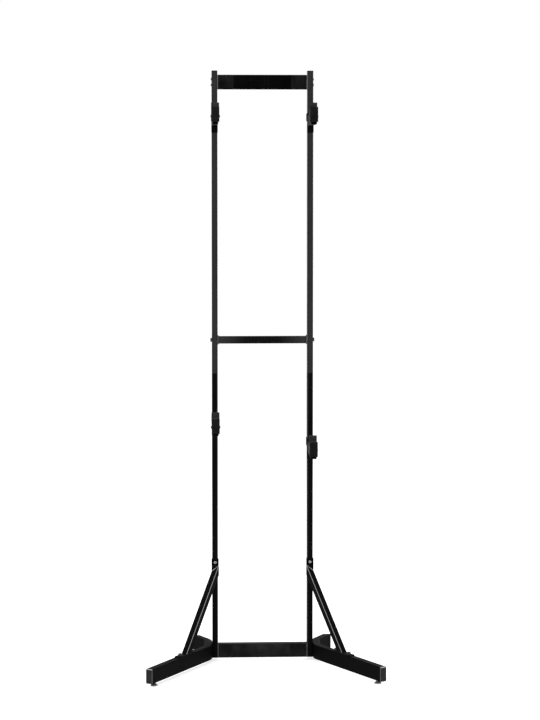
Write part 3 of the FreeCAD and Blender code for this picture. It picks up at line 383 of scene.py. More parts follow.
@dataclass(frozen=True)
class MouldedPlastic:
    """Matt moulded plastic with a spark-eroded grain, random cloudy tone, smoother edges and a painted
    highlight along them, brightest on edges that face up.
    """

    name: str = "black_plastic"
    colour: Colour = (0.0032, 0.0032, 0.0035)
    # Colour of the random clouds and of the painted highlight along the edges.
    polished: Colour = (0.016, 0.016, 0.017)
    # Colour of the painted highlight on edges that face up, lit more from above.
    upper_edges: Colour = (0.030, 0.030, 0.031)
    cloudy: float = 0.3
    roughness: float = 0.55
    gloss: float = 0.05
    grain: float = 0.00010
    marks: tuple[Mark, ...] = ()

    def material(self) -> bpy.types.Material:
        """The finished material."""
        shader = Shader(self.name)
        erosion = shader.cells(1100.0)
        clouds = shader.noise(30.0, 3.0).between(0.4, 0.7)
        edge = shader.edges(0.0014)
        # Random clouds, plus a painted highlight along the edges; edges that face up are painted lighter
        # still.
        tone = shader.blend(edge * 0.7 + clouds * self.cloudy, self.colour, self.polished)
        tone = shader.blend(edge * shader.facing_up(), tone, self.upper_edges)
        tone = shader.marked(tone, self.marks, 0.75 + clouds * 0.25)
        return shader.dress(
            {"Specular IOR Level": self.gloss},
            base_color=tone,
            roughness=self.roughness + clouds * 0.08 - edge * 0.14,
            normal=shader.bump(erosion + shader.noise(2200.0) * 0.4, self.grain, shader.rounded(0.0006)),
        )


@dataclass(frozen=True)
class SoftRubber:
    """Soft dark rubber with a bloom and fine pores, and a pale dusty rim at the floor."""

    name: str = "dark_rubber"
    colour: Colour = (0.012, 0.012, 0.013)
    bloom: Colour = grey(0.045)
    floor_dust: Colour = (0.42, 0.42, 0.41)
    roughness: float = 0.78
    gloss: float = 0.2
    dust_height: float = 2.6 * MM

    def material(self) -> bpy.types.Material:
        """The finished material."""
        shader = Shader(self.name)
        bloom = shader.noise(90.0, 5.0).between(0.45, 0.75)
        pores = shader.cells(1600.0)
        height = shader.vector("DOT_PRODUCT", shader.place(), (0.0, 0.0, 1.0), "Value")
        dust = 1.0 - height.between(self.dust_height * 0.7, self.dust_height)
        tone = shader.blend(bloom * 0.5, self.colour, self.bloom)
        return shader.dress(
            {"Specular IOR Level": self.gloss},
            base_color=shader.blend(dust * (0.75 + bloom * 0.25), tone, self.floor_dust),
            roughness=self.roughness + bloom * 0.12,
            normal=shader.bump(pores, 0.00012, shader.rounded(0.0006)),
        )


@dataclass(frozen=True)
class ZincPlate:
    """Zinc plating: drawn streaks, slight tarnish, and any marks given, such as painted shade in sockets."""

    name: str = "zinc_steel"
    colour: Colour = (0.62, 0.63, 0.64)
    tarnish: Colour = (0.34, 0.335, 0.32)
    roughness: float = 0.30
    marks: tuple[Mark, ...] = ()

    def material(self) -> bpy.types.Material:
        """The finished material."""
        shader = Shader(self.name)
        spots = shader.noise(260.0, 5.0).between(0.45, 0.72)
        drawn = shader.noise(900.0, 2.0, (1.0, 0.15, 0.15))
        return shader.dress(
            base_color=shader.marked(shader.blend(spots * 0.7, self.colour, self.tarnish), self.marks),
            metallic=1.0,
            roughness=self.roughness + spots * 0.18 + drawn * 0.08,
            normal=shader.bump(drawn, 0.00004, shader.rounded(0.0004)),
        )


class Finishes:
    """One material for each finish and each shade of it."""

    def __init__(self) -> None:
        """Make every material."""
        self.coat_lower = PowderCoat("black_powder_coat_lower", (0.0016, 0.0016, 0.0018),
                                     (0.0055, 0.0055, 0.0058), roughness=0.50, gloss=0.015,
                                     mottle=0.25).material()
        self.plastic = MouldedPlastic().material()
        self.rubber = SoftRubber().material()
        self.foot_rubber = SoftRubber("dark_rubber_feet", floor_dust=(0.36, 0.36, 0.355),
                                      dust_height=5.2 * MM).material()
        self.zinc = ZincPlate().material()
        self.dark_zinc = ZincPlate("zinc_steel_blackened", (0.060, 0.060, 0.063), grey(0.020),
                                   0.45).material()


def outline_of(shape: bmesh.types.BMesh, name: str, smooth_angle: float = 35.0) -> bpy.types.Object:
    """Turn a bmesh into a linked, smooth-shaded object.

    Args:
        shape: The mesh, which is freed.
        name: The object's name.
        smooth_angle: Edges sharper than this many degrees stay sharp.

    Returns:
        The new object.
    """
    bmesh.ops.recalc_face_normals(shape, faces=shape.faces)
    mesh = bpy.data.meshes.new(name)
    shape.to_mesh(mesh)
    shape.free()
    mesh.shade_smooth()
    mesh.set_sharp_from_angle(angle=math.radians(smooth_angle))
    made = bpy.data.objects.new(name, mesh)
    bpy.context.scene.collection.objects.link(made)
    return made


def settled(made: bpy.types.Object, smooth_angle: float = 35.0) -> bpy.types.Object:
    """Apply an object's modifiers and its placement to its mesh.

    Args:
        made: The object.
        smooth_angle: Edges sharper than this many degrees stay sharp.

    Returns:
        The same object, at the origin.
    """
    bpy.context.view_layer.update()
    evaluated = made.evaluated_get(bpy.context.evaluated_depsgraph_get())
    mesh = bpy.data.meshes.new_from_object(evaluated)
    mesh.transform(made.matrix_world)
    made.modifiers.clear()
    made.data = mesh
    made.matrix_world = Matrix.Identity(4)
    mesh.shade_smooth()
    mesh.set_sharp_from_angle(angle=math.radians(smooth_angle))
    return made


def softened(made: bpy.types.Object, width: float, segments: int = 3) -> bpy.types.Object:
    """Round an object's sharp edges off.

    Args:
        made: The object.
        width: How far the rounding reaches from an edge.
        segments: Steps of the rounding.

    Returns:
        The same object.
    """
    bevel = made.modifiers.new("rounding", "BEVEL")
    bevel.width = width
    bevel.segments = segments
    bevel.limit_method = "ANGLE"
    bevel.angle_limit = math.radians(40.0)
    return settled(made)


def joined(base: bpy.types.Object, *others: bpy.types.Object, operation: str = "UNION") -> bpy.types.Object:
    """Add solids to another one, or take them away, and drop what was used up.

    Args:
        base: The solid that stays.
        *others: The solids that are used up.
        operation: Blender's name of what is done with them.

    Returns:
        The solid that stays.
    """
    for other in others:
        union = base.modifiers.new("joint", "BOOLEAN")
        union.operation = operation
        union.solver = "EXACT"
        union.object = other
        settled(base)
        bpy.data.objects.remove(other)
    return base


def extruded(
    name: str, outline: Sequence[Point], low: float, high: float, plane: Plane = Plane.YZ
) -> bpy.types.Object:
    """A closed outline in one plane, drawn out along the third axis.

    Args:
        name: The object's name.
        outline: Corners in order, in metres.
        low: Where the solid starts along the third axis.
        high: Where it ends.
        plane: The outline's plane.

    Returns:
        The solid.
    """
    shape = bmesh.new()
    rings = [[shape.verts.new(plane.point(*corner, out)) for corner in outline] for out in (low, high)]
    shape.faces.new(rings[0])
    shape.faces.new(rings[1])
    for index in range(len(outline)):
        after = (index + 1) % len(outline)
        shape.faces.new((rings[0][index], rings[0][after], rings[1][after], rings[1][index]))
    return outline_of(shape, name)


def turned(name: str, profile: Sequence[Point], around: int = 32,
           reach: Callable[[float, float, float], float] | None = None) -> bpy.types.Object:
    """A solid of revolution about Z.

    Args:
        name: The object's name.
        profile: Radius and height of each ring, from the bottom to the top.
        around: Corners of each ring.
        reach: Changes a ring's radius by its angle and height, for flats and threads.

    Returns:
        The solid, closed at both ends.
    """
    shape = bmesh.new()
    rings = []
    for radius, height in profile:
        ring = []
        for step in range(around):
            angle = 2 * math.pi * step / around
            far = reach(radius, angle, height) if reach else radius
            ring.append(shape.verts.new((far * math.cos(angle), far * math.sin(angle), height)))
        rings.append(ring)
    for lower, upper in zip(rings, rings[1:]):
        for step in range(around):
            after = (step + 1) % around
            shape.faces.new((lower[step], lower[after], upper[after], upper[step]))
    shape.faces.new(rings[0])
    shape.faces.new(rings[-1])
    return outline_of(shape, name)


def arc(centre: Point, radius: float, start: float, end: float, steps: int) -> list[Point]:
    """Points of an arc, with its angles in degrees."""
    angles = [math.radians(start + (end - start) * step / steps) for step in range(steps + 1)]
    return [(centre[0] + radius * math.cos(angle), centre[1] + radius * math.sin(angle)) for angle in angles]


def rounded_rectangle(wide: float, high: float, radius: float, steps: int = 5) -> list[Point]:
    """Outline of a rectangle with rounded corners about the origin."""
    x, y = wide / 2 - radius, high / 2 - radius
    corners = ((x, -y, -90), (x, y, 0), (-x, y, 90), (-x, -y, 180))
    return [point for cx, cy, start in corners for point in arc((cx, cy), radius, start, start + 90, steps)]


def hexagon_reach(flat: float) -> Callable[[float, float], float]:
    """How far a hexagon of some distance from centre to flat reaches at an angle."""

    def reach(limit: float, angle: float) -> float:
        """The lesser of a round limit and the hexagon's own edge."""
        turn = (angle + math.pi / 6) % (math.pi / 3) - math.pi / 6
        return min(limit, flat / math.cos(turn))

    return reach


@dataclass
class HexBolt:
    """A hexagon head with its chamfer and washer face on a plain round shank."""

    flat: float = 6.5 * MM
    head: float = 5.3 * MM
    shank: float = 4.0 * MM
    length: float = 20.0 * MM
    washer: float = 0.0

    def build(self, name: str, place: Vector, facing: Euler) -> bpy.types.Object:
        """Make the bolt.

        Args:
            name: The object's name.
            place: Where the head's underside is.
            facing: The turn that brings the head's direction from +Z.

        Returns:
            The bolt.
        """
        corner = self.flat / math.cos(math.pi / 6)
        chamfer = corner - self.flat * 0.96
        hexagon = hexagon_reach(self.flat)
        base = self.washer
        thread = self.shank * 0.96
        rings = [(self.shank * 0.8, -self.length), (thread, -self.length + 0.6 * MM), (thread, 0.0)]
        if self.washer:
            rings += [(corner * 1.12, 0.0), (corner * 1.15, 0.2 * MM), (corner * 1.15, base - 0.2 * MM),
                      (corner * 1.12, base)]
        rings += [(self.flat * 0.94, base), (self.flat * 0.94, base + 0.3 * MM)]
        hex_low, hex_high = base + 0.3 * MM, base + self.head
        steps = 5
        rings.append((corner, hex_low))
        for step in range(steps + 1):
            rings.append((corner - chamfer * step / steps, hex_high - chamfer * 0.5 * (1 - step / steps)))
        rings += [(self.flat * 0.55, hex_high), (self.flat * 0.5, hex_high - 0.35 * MM)]

        def reach(radius: float, angle: float, height: float) -> float:
            """Flats from the washer face up, a round shank below."""
            return hexagon(radius, angle) if height >= hex_low - 1e-9 else radius

        made = turned(name, rings, 48, reach)
        made.matrix_world = Matrix.Translation(place) @ facing.to_matrix().to_4x4()
        return settled(made, 28.0)


@dataclass
class RoundScrew:
    """A low domed head with a hexagon socket on a shank, or a flush countersunk one."""

    radius: float = 4.6 * MM
    head: float = 2.6 * MM
    shank: float = 2.5 * MM
    length: float = 10.0 * MM
    socket: float = 1.5 * MM
    flush: bool = False

    def build(self, name: str, place: Vector, facing: Euler) -> bpy.types.Object:
        """Make the screw.

        Args:
            name: The object's name.
            place: Where the head's seat is.
            facing: The turn that brings the head's direction from +Z.

        Returns:
            The screw.
        """
        thread = self.shank * 0.98
        rings = [(self.shank * 0.8, -self.length), (thread, -self.length + 0.5 * MM)]
        if self.flush:
            top = -0.02 * MM
            rings += [(thread, -self.head), (self.radius * 0.97, -0.15 * MM), (self.radius * 0.95, top)]
        else:
            rings += [(thread, 0.0), (self.radius, 0.0)]
            top = self.head
            for step in range(7):
                angle = math.pi / 2 * step / 6
                radius = self.radius * (0.52 + 0.48 * math.cos(angle))
                rings.append((radius, top * (0.35 + 0.65 * math.sin(angle))))
        well = hexagon_reach(self.socket)
        rings += [(self.socket * 1.25, top), (self.socket * 1.1, top - 0.15 * MM)]
        deep = top - min(self.head * 0.7, 1.6 * MM)
        rings += [(self.socket * 1.1001, deep), (self.socket * 0.3, deep - 0.2 * MM)]

        def reach(radius: float, angle: float, height: float) -> float:
            """Flats inside the socket, round elsewhere."""
            inside = radius <= self.socket * 1.15 and height > deep - 0.3 * MM and height < top
            return well(radius, angle) if inside and radius > self.socket else radius

        made = turned(name, rings, 36, reach)
        made.matrix_world = Matrix.Translation(place) @ facing.to_matrix().to_4x4()
        return settled(made, 30.0)


@dataclass
class ThreadedRod:
    """A stud whose thread is a true helix."""

    radius: float = 4.0 * MM
    pitch: float = 1.25 * MM
    depth: float = 0.55 * MM
    around: int = 28
    per_turn: int = 6

    def profile(self, length: float) -> list[Point]:
        """Rings of a rod from 0 to a length, chamfered at both ends."""
        count = max(4, round(length / self.pitch * self.per_turn))
        rings = []
        for step in range(count + 1):
            height = length * step / count
            taper = max(0.0, 1.0 - min(height, length - height) / (1.2 * MM))
            rings.append((self.radius - 0.9 * MM * taper, height))
        return rings

    def reach(self, radius: float, angle: float, height: float) -> float:
        """A ring's radius where the helix cuts into it."""
        phase = (height / self.pitch - angle / (2 * math.pi)) % 1.0
        return min(radius, self.radius - self.depth * (1 - abs(2 * phase - 1)))

    def build(self, name: str, length: float) -> bpy.types.Object:
        """The rod, standing on the origin."""
        return turned(name, self.profile(length), self.around, self.reach)


def weld_bead(
    name: str, corners: Sequence[Vector], radius: float, ripple: float = 1.1 * MM
) -> bpy.types.Object:
    """A rippled weld bead round a closed loop.

    Args:
        name: The object's name.
        corners: The loop's corners in order.
        radius: The bead's radius.
        ripple: Distance between its ripples.

    Returns:
        The bead as one closed tube.
    """
    centre = sum(corners, Vector()) / len(corners)
    path = []
    for start, end in zip(corners, [*corners[1:], corners[0]]):
        steps = max(2, round((end - start).length / (ripple / 3)))
        path += [start.lerp(end, step / steps) for step in range(steps)]
    shape = bmesh.new()
    rings = []
    for index, point in enumerate(path):
        along = (path[(index + 1) % len(path)] - path[index - 1]).normalized()
        outward = (point - centre).normalized()
        across = along.cross(outward).normalized()
        outward = across.cross(along).normalized()
        size = radius * (0.86 + 0.14 * math.sin(2 * math.pi * index / 3))
        ring = []
        for step in range(8):
            angle = 2 * math.pi * step / 8
            spoke = math.cos(angle) * outward + math.sin(angle) * across
            ring.append(shape.verts.new(point + size * spoke))
        rings.append(ring)
    for index, ring in enumerate(rings):
        after = rings[(index + 1) % len(rings)]
        for step in range(8):
            side = (step + 1) % 8
            shape.faces.new((ring[step], ring[side], after[side], after[step]))
    return outline_of(shape, name, 60.0)


def moved(made: bpy.types.Object, x: float, y: float, z: float) -> bpy.types.Object:
    """Move an object's mesh."""
    made.data.transform(Matrix.Translation((x, y, z)))
    return made


def dress(made: bpy.types.Object, material: bpy.types.Material, body: str) -> bpy.types.Object:
    """Give a piece its material and its body.

    Args:
        made: The piece.
        material: What it is made of.
        body: The body that it rides on.

    Returns:
        The same piece.
    """
    made.data.materials.clear()
    made.data.materials.append(material)
    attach(made, body)
    return made


def paint(node: str, material: bpy.types.Material) -> None:
    """Give a node of the frame its material."""
    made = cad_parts[node]
    if not made.material_slots:
        made.data.materials.append(material)
    for place in made.material_slots:
        place.material = material


def middle(node: str) -> Vector:
    """Centre of a node's box."""
    low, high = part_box(node)
    return (low + high) / 2


@dataclass
class TowerFrame:
    """Uprights, legs, bars, braces and everything bolted to them."""

    finishes: Finishes
    cap_corner: float = 3.0 * MM
    cap_plate: float = 2.5 * MM
    tube_walls: float = 3.6 * MM
    plug_wide: float = 20.6 * MM
    plug_less: float = 4.4 * MM
    plug_corner: float = 1.0 * MM
    leg_wide: float = 25.0 * MM
    splay: float = math.radians(31.0)
    bead: float = 1.3 * MM
    brace_size: float = 22.0 * MM
    brace_top: float = 309.0 * MM
    foot_plate: float = 3.0 * MM
    fore_bolt_reach: float = 38.5 * MM
    bolt_spacing: float = 71.5 * MM
    washer_reach: float = 7.5 * 1.15 * MM
    label_zone: float = 98.0 * MM

    def brace_line(self) -> tuple[Vector, Vector, Vector, Vector, Vector]:
        """Lower and upper end of the right brace's centre line, its direction and its section's two axes."""
        leg_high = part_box("right_leg")[1]
        bolts_low, bolts_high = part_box("foot_plate_bolts")
        reach = self.washer_reach
        along_arm = Vector((math.sin(self.splay), -math.cos(self.splay), 0.0))
        fore_bolt = Vector((bolts_high.x - reach, bolts_low.y + reach, leg_high.z + self.foot_plate))
        foot = fore_bolt - along_arm * self.fore_bolt_reach
        top = Vector((middle("right_lower_upright").x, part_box("brace_brackets")[0].y, self.brace_top))
        along = (top - foot).normalized()
        across = Vector((along.y, -along.x, 0.0)).normalized()
        return foot, top, along, across, along.cross(across).normalized()

    def brace_marks(self) -> tuple[Mark, ...]:
        """Painted highlights on the braces: a pale line down their front corner and a near-white line along
        the cut edge at their tops.
        """
        foot, top, along, across, third = self.brace_line()
        half = self.brace_size / 2

        def on_bracket(a: int, b: int) -> Vector:
            """Where a corner of the section meets the bracket's face."""
            corner = foot + half * (a * across + b * third)
            return corner + along * ((top.y - corner.y) / along.y)

        inset = 0.75 * MM * (across + third)
        front_top, outer_top = on_bracket(-1, -1) + inset, on_bracket(1, -1)
        front_low = front_top - along * ((front_top.z - foot.z) / along.z)
        # Painted highlights: the front corner's pale line, then the brighter line along the top cut edge.
        return (
            Mark(tuple(front_low), tuple(front_top), 1.2 * MM, grey(0.36)),
            Mark(tuple(outer_top), tuple(front_top), 2.4 * MM, (0.75, 0.75, 0.74)),
        )

    def bar_marks(self, node: str, ends: Colour, ridge_highlight: Colour) -> tuple[Mark, ...]:
        """Painted highlights on a bar between the uprights: pale lines on the edges at its ends and along its
        top front corner.

        Args:
            node: The bar's node.
            ends: Colour of the painted highlight on the edges at its ends.
            ridge_highlight: Colour of the painted highlight on the top front corner.

        Returns:
            The two marks.
        """
        low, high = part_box(node)
        end = (high.x - 0.5 * MM, low.y, low.z), (high.x - 0.5 * MM, low.y, high.z)
        corner = (0.0, low.y + 1.0 * MM, high.z - 1.0 * MM), (high.x, low.y + 1.0 * MM, high.z - 1.0 * MM)
        # Painted highlights along the end edges and the top front corner.
        return Mark(*end, 1.9 * MM, ends), Mark(*corner, 2.0 * MM, ridge_highlight, 0.8)

    def cap_marks(self) -> tuple[Mark, ...]:
        """Painted highlights round each front cap's face: the top edge brightest, where light falls from
        above, the other edges less.
        """
        low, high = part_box("front_leg_caps")
        across = Vector((math.cos(self.splay), math.sin(self.splay), 0.0))
        outer = Vector((high.x, low.y + self.leg_wide * math.sin(self.splay), 0.0)) - across * 0.8 * MM
        inner = outer - across * (self.leg_wide - 1.6 * MM)
        top, bottom = Vector((0.0, 0.0, high.z - 1.0 * MM)), Vector((0.0, 0.0, low.z + 0.8 * MM))
        # Painted highlights: the top edge of the face, then the inner, outer and bottom edges, fainter.
        return (
            Mark(tuple(inner + top), tuple(outer + top), 2.6 * MM, (0.46, 0.46, 0.45)),
            Mark(tuple(inner + bottom), tuple(inner + top), 1.8 * MM, grey(0.10)),
            Mark(tuple(outer + bottom), tuple(outer + top), 1.6 * MM, grey(0.06)),
            Mark(tuple(inner + bottom), tuple(outer + bottom), 1.8 * MM, grey(0.05)),
        )

    def paint_tubes(self) -> None:
        """Dress the frame's own nodes."""
        finishes = self.finishes
        brace = PowderCoat("black_powder_coat_brace", (0.0012, 0.0012, 0.0014), (0.0046, 0.0046, 0.0050),
                           roughness=0.50, gloss=0.025, mottle=0.25, marks=self.brace_marks())
        # Painted highlights on the crossbar's end edges and top front corner.
        bar_edge_highlights = self.bar_marks("base_crossbar", grey(0.12), (0.030, 0.030, 0.031))
        base_bar = PowderCoat("black_powder_coat_bar", (0.0030, 0.0030, 0.0033), (0.020, 0.020, 0.021),
                              gloss=0.04, mottle=0.8, marks=bar_edge_highlights)
        low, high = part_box("mid_bar")
        start = (high.x - 12.0 * MM, low.y, low.z)
        pale = Mark(start, high.to_tuple(), 80.0 * MM, grey(0.034), line=False)
        # Painted highlights on the middle bar's end edges and top front corner.
        bar_edge_highlights = self.bar_marks("mid_bar", grey(0.40), grey(0.008))
        middle_bar = PowderCoat("black_powder_coat_mid", (0.0018, 0.0018, 0.0020), (0.010, 0.010, 0.0105),
                                gloss=0.03, brushed=(0.02, 1.0, 6.0), marks=(pale, *bar_edge_highlights))
        low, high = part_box("header_panel")
        end = (self.label_zone, low.y, high.z)
        plate = Mark((0.0, low.y, low.z), end, 2.0 * MM, grey(0.0002), line=False)
        # Painted highlights on the header's end edges and top front corner.
        bar_edge_highlights = self.bar_marks("header_panel", grey(0.40), (0.020, 0.020, 0.021))
        header = PowderCoat("black_powder_coat_header", (0.0036, 0.0036, 0.0039),
                            roughness=0.48, gloss=0.01, marks=(*bar_edge_highlights, plate))
        low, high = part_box("right_upper_upright")
        x = (low.x + high.x) / 2
        # Painted highlight: a soft pale stripe down the middle of the upper uprights' front faces.
        highlight_band = Mark((x, low.y, low.z), (x, low.y, high.z), 6.0 * MM, (0.020, 0.020, 0.021), 0.4)
        upper = PowderCoat(colour=(0.0062, 0.0062, 0.0068), dusty=(0.018, 0.018, 0.019), marks=(highlight_band,))
        low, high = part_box("right_lower_upright")
        # Painted reflection: a pale line along the inner front corner of the lower uprights.
        inner = Mark((low.x, low.y, low.z), (low.x, low.y, high.z), 3.2 * MM, grey(0.070))
        lower = PowderCoat("black_powder_coat_uprights", (0.0024, 0.0024, 0.0027), (0.0070, 0.0070, 0.0074),
                           roughness=0.50, gloss=0.015, mottle=0.25, marks=(inner,))
        coats = (
            (upper.material(), ("left_upper_upright", "right_upper_upright")),
            (lower.material(), ("left_lower_upright", "right_lower_upright")),
            (finishes.coat_lower, ("left_leg", "right_leg", "brace_brackets")),
            (brace.material(), ("left_brace", "right_brace")),
            (base_bar.material(), ("base_crossbar",)),
            (middle_bar.material(), ("mid_bar",)),
            (header.material(), ("header_panel",)),
            (finishes.zinc, ("base_nuts", "left_splice", "right_splice")),
        )
        for material, nodes in coats:
            for node in nodes:
                paint(node, material)

    def top_caps(self) -> None:
        """Caps with a crowned head in the uprights' tops."""
        low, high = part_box("top_caps")
        for side in Side:
            upright_low, upright_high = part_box(f"{side.word}_upper_upright")
            centre = (upright_low + upright_high) / 2
            wide, deep = upright_high.x - upright_low.x, upright_high.y - upright_low.y
            rim = rounded_rectangle(wide, deep, self.cap_corner)
            head = extruded("head", rim, upright_high.z, high.z, Plane.XY)
            softened(head, 1.0 * MM)
            core = rounded_rectangle(wide - self.tube_walls, deep - self.tube_walls, self.plug_corner)
            plug = extruded("plug", core, low.z, upright_high.z + 1.0 * MM, Plane.XY)
            cap = joined(head, plug)
            cap.name = f"top_cap_{side.word}"
            moved(cap, centre.x, centre.y, 0.0)
            dress(cap, self.finishes.plastic, "frame")
            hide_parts("top_caps")

    def leg_caps(self) -> None:
        """Caps with rounded heads and a shallow dished face in the legs' ends."""
        # Cap plastic with stronger painted edge highlights and the painted highlights round the front faces.
        plastic = MouldedPlastic("black_plastic_caps", (0.010, 0.010, 0.011), grey(0.050),
                                 grey(0.20), 0.30, gloss=0.10, marks=self.cap_marks()).material()
        for node, forward in (("front_leg_caps", True), ("rear_leg_caps", False)):
            low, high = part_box(node)
            tall = high.z - low.z
            for side in Side:
                if forward:
                    cap = self.front_cap(tall)
                    turn = self.splay * side.value
                    outer = high.x - self.leg_wide / 2 * math.cos(self.splay)
                    place = side.place(outer, low.y + self.leg_wide / 2 * math.sin(self.splay), 0.0)
                    cap.data.transform(Matrix.Translation(place) @ Matrix.Rotation(turn, 4, "Z"))
                else:
                    cap = self.rear_cap(tall)
                    if side is Side.LEFT:
                        cap.data.transform(Matrix.Scale(-1.0, 4, Vector((1.0, 0.0, 0.0))))
                        cap.data.flip_normals()
                    wide = self.leg_wide / math.cos(self.splay)
                    slant = self.cap_plate * math.tan(self.splay)
                    moved(cap, side.value * (high.x - wide / 2 - slant / 2), high.y, 0.0)
                moved(cap, 0.0, 0.0, (low.z + high.z) / 2)
                cap.name = f"{node[:-1]}_{side.word}"
                dress(cap, plastic, "frame")
                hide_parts(node)

    def front_cap(self, tall: float) -> bpy.types.Object:
        """A front cap with the middle of its outer face at the origin, looking forward."""
        rim = rounded_rectangle(self.leg_wide, tall, self.cap_corner)
        head = extruded("head", rim, 0.0, self.cap_plate, Plane.XZ)
        softened(head, 0.8 * MM)
        hollow = rounded_rectangle(18.0 * MM, tall - 7.0 * MM, 2.0 * MM)
        dish = extruded("dish", hollow, -1.0 * MM, 0.5 * MM, Plane.XZ)
        joined(head, dish, operation="DIFFERENCE")
        core = rounded_rectangle(self.plug_wide, tall - self.plug_less, self.plug_corner)
        plug = extruded("plug", core, self.cap_plate - 1.0 * MM, self.cap_plate + 14.0 * MM, Plane.XZ)
        return joined(head, plug)

    def rear_cap(self, tall: float) -> bpy.types.Object:
        """A right rear cap with the middle of its slanted head's rear face near the origin."""
        aslant = math.cos(self.splay)
        rim = rounded_rectangle(self.leg_wide / aslant, tall, self.cap_corner)
        head = extruded("head", rim, -self.cap_plate, 0.0, Plane.XZ)
        shear = Matrix.Identity(4)
        shear[0][1] = math.tan(self.splay)
        slant = Matrix.Translation((self.cap_plate * math.tan(self.splay) / 2, 0.0, 0.0)) @ shear
        head.data.transform(slant)
        softened(head, 0.7 * MM)
        core = rounded_rectangle(self.plug_wide / aslant, tall - self.plug_less, self.plug_corner)
        plug = extruded("plug", core, -self.cap_plate - 7.5 * MM, -self.cap_plate + 1.0 * MM, Plane.XZ)
        plug.data.transform(slant)
        return joined(head, plug)

    def fastener_group(self, node: str, bolt: HexBolt | RoundScrew, places: Sequence[Vector],
                       facing: Callable[[Vector], Euler], finish: bpy.types.Material | None = None) -> None:
        """Detailed fasteners in place of a node of plain ones.

        Args:
            node: The node that they stand for.
            bolt: How each one looks.
            places: Where each head is seated.
            facing: Gives the turn of each head from its place.
            finish: Their material, bright zinc if none is given.
        """
        for index, place in enumerate(places):
            made = bolt.build(f"{node}_{index}", place, facing(place))
            dress(made, finish or self.finishes.zinc, "frame")
            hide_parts(node)

    def fasteners(self) -> None:
        """Every bolt and screw of the frame."""
        upright_low, upright_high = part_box("right_lower_upright")
        out_x = upright_high.x

        def pairs(node: str, x: float, edge: float) -> list[Vector]:
            """Two heights on both sides, at the middle depth of a node."""
            low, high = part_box(node)
            y = (low.y + high.y) / 2
            return [side.place(x, y, z) for side in Side for z in (low.z + edge, high.z - edge)]

        def outward(place: Vector) -> Euler:
            """The turn of a head that looks away from the middle."""
            return Euler((Facing.RIGHT if place.x > 0 else Facing.LEFT).value)

        def inward(place: Vector) -> Euler:
            """The turn of a head that looks at the middle."""
            return Euler((Facing.LEFT if place.x > 0 else Facing.RIGHT).value)

        seat = upright_low.x - 2.5 * MM
        bolt = HexBolt(length=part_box("base_bolts")[1].x - seat)
        self.fastener_group("base_bolts", bolt, pairs("base_bolts", seat, 6.5 * MM), inward)
        low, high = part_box("mid_bar_bolts")
        y, z = (low.y + high.y) / 2, (low.z + high.z) / 2
        places = [side.place(out_x, y, z) for side in Side]
        dark = self.finishes.dark_zinc
        self.fastener_group("mid_bar_bolts", HexBolt(length=29.0 * MM), places, outward, dark)
        screws = pairs("header_screws", out_x, 4.6 * MM)
        self.fastener_group("header_screws", RoundScrew(length=26.0 * MM), screws, outward, dark)
        flush = RoundScrew(radius=4.0 * MM, head=1.5 * MM, length=4.6 * MM, flush=True)
        self.fastener_group("splice_screws", flush, pairs("splice_screws", out_x, 4.0 * MM), outward, dark)
        low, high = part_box("bracket_bolts")
        x, front = middle("right_lower_upright").x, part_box("brace_brackets")[0].y
        places = [side.place(x, front, (low.z + high.z) / 2) for side in Side]
        head = RoundScrew(head=3.9 * MM, shank=4.0 * MM, length=10.0 * MM, socket=2.4 * MM)
        centre = places[1]
        start, end = (centre.x, low.y - 1.0 * MM, centre.z), (centre.x, high.y, centre.z)
        # Painted shade: the hexagon sockets darkened round the bolts' axis.
        socket_shade = Mark(start, end, 3.1 * MM, grey(0.004))
        ring = ZincPlate("zinc_steel_sockets", marks=(socket_shade,)).material()
        self.fastener_group("bracket_bolts", head, places, lambda place: Euler(Facing.FRONT.value), ring)
        self.foot_plate_bolts()

    def foot_plate_bolts(self) -> None:
        """The bolts with washers on the braces' foot plates."""
        foot = self.brace_line()[0]
        along_arm = Vector((math.sin(self.splay), -math.cos(self.splay), 0.0))
        fore = foot + along_arm * self.fore_bolt_reach
        places = [
            side.place(*place)
            for side in Side
            for place in (fore, fore - along_arm * self.bolt_spacing)
        ]

        def along_leg(place: Vector) -> Euler:
            """The turn of a head whose flats lie along the leg's arm."""
            return Euler((0.0, 0.0, self.splay * math.copysign(1, place.x)))

        bolt = HexBolt(length=8.0 * MM, washer=2.0 * MM)
        self.fastener_group("foot_plate_bolts", bolt, places, along_leg, self.finishes.dark_zinc)

    def weld_beads(self) -> None:
        """Beads where the braces stand on their foot plates and where the middle bar meets its flanges."""
        foot, _, along, across, third = self.brace_line()
        half = self.brace_size / 2
        for side in Side:
            corners = []
            for a, b in CORNERS:
                corner = foot + half * (a * across + b * third)
                corner -= along * ((corner.z - foot.z) / along.z)
                corners.append(side.place(*corner))
            made = weld_bead(f"brace_weld_{side.word}", corners, self.bead)
            dress(made, self.finishes.coat_lower, "frame")
        low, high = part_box("mid_bar")
        centre = (low + high) / 2
        for side in Side:
            x = side.value * (high.x - 3.0 * MM)
            size = 12.3 * MM
            ring = [Vector((x, centre.y + a * size, centre.z + b * size)) for a, b in CORNERS]
            made = weld_bead(f"bar_weld_{side.word}", ring, 1.0 * MM)
            dress(made, self.finishes.coat_lower, "frame")

    def build(self) -> None:
        """Make and dress the whole frame."""
        self.paint_tubes()
        self.top_caps()
        self.leg_caps()
        self.fasteners()
        self.weld_beads()
        log.info("frame done")


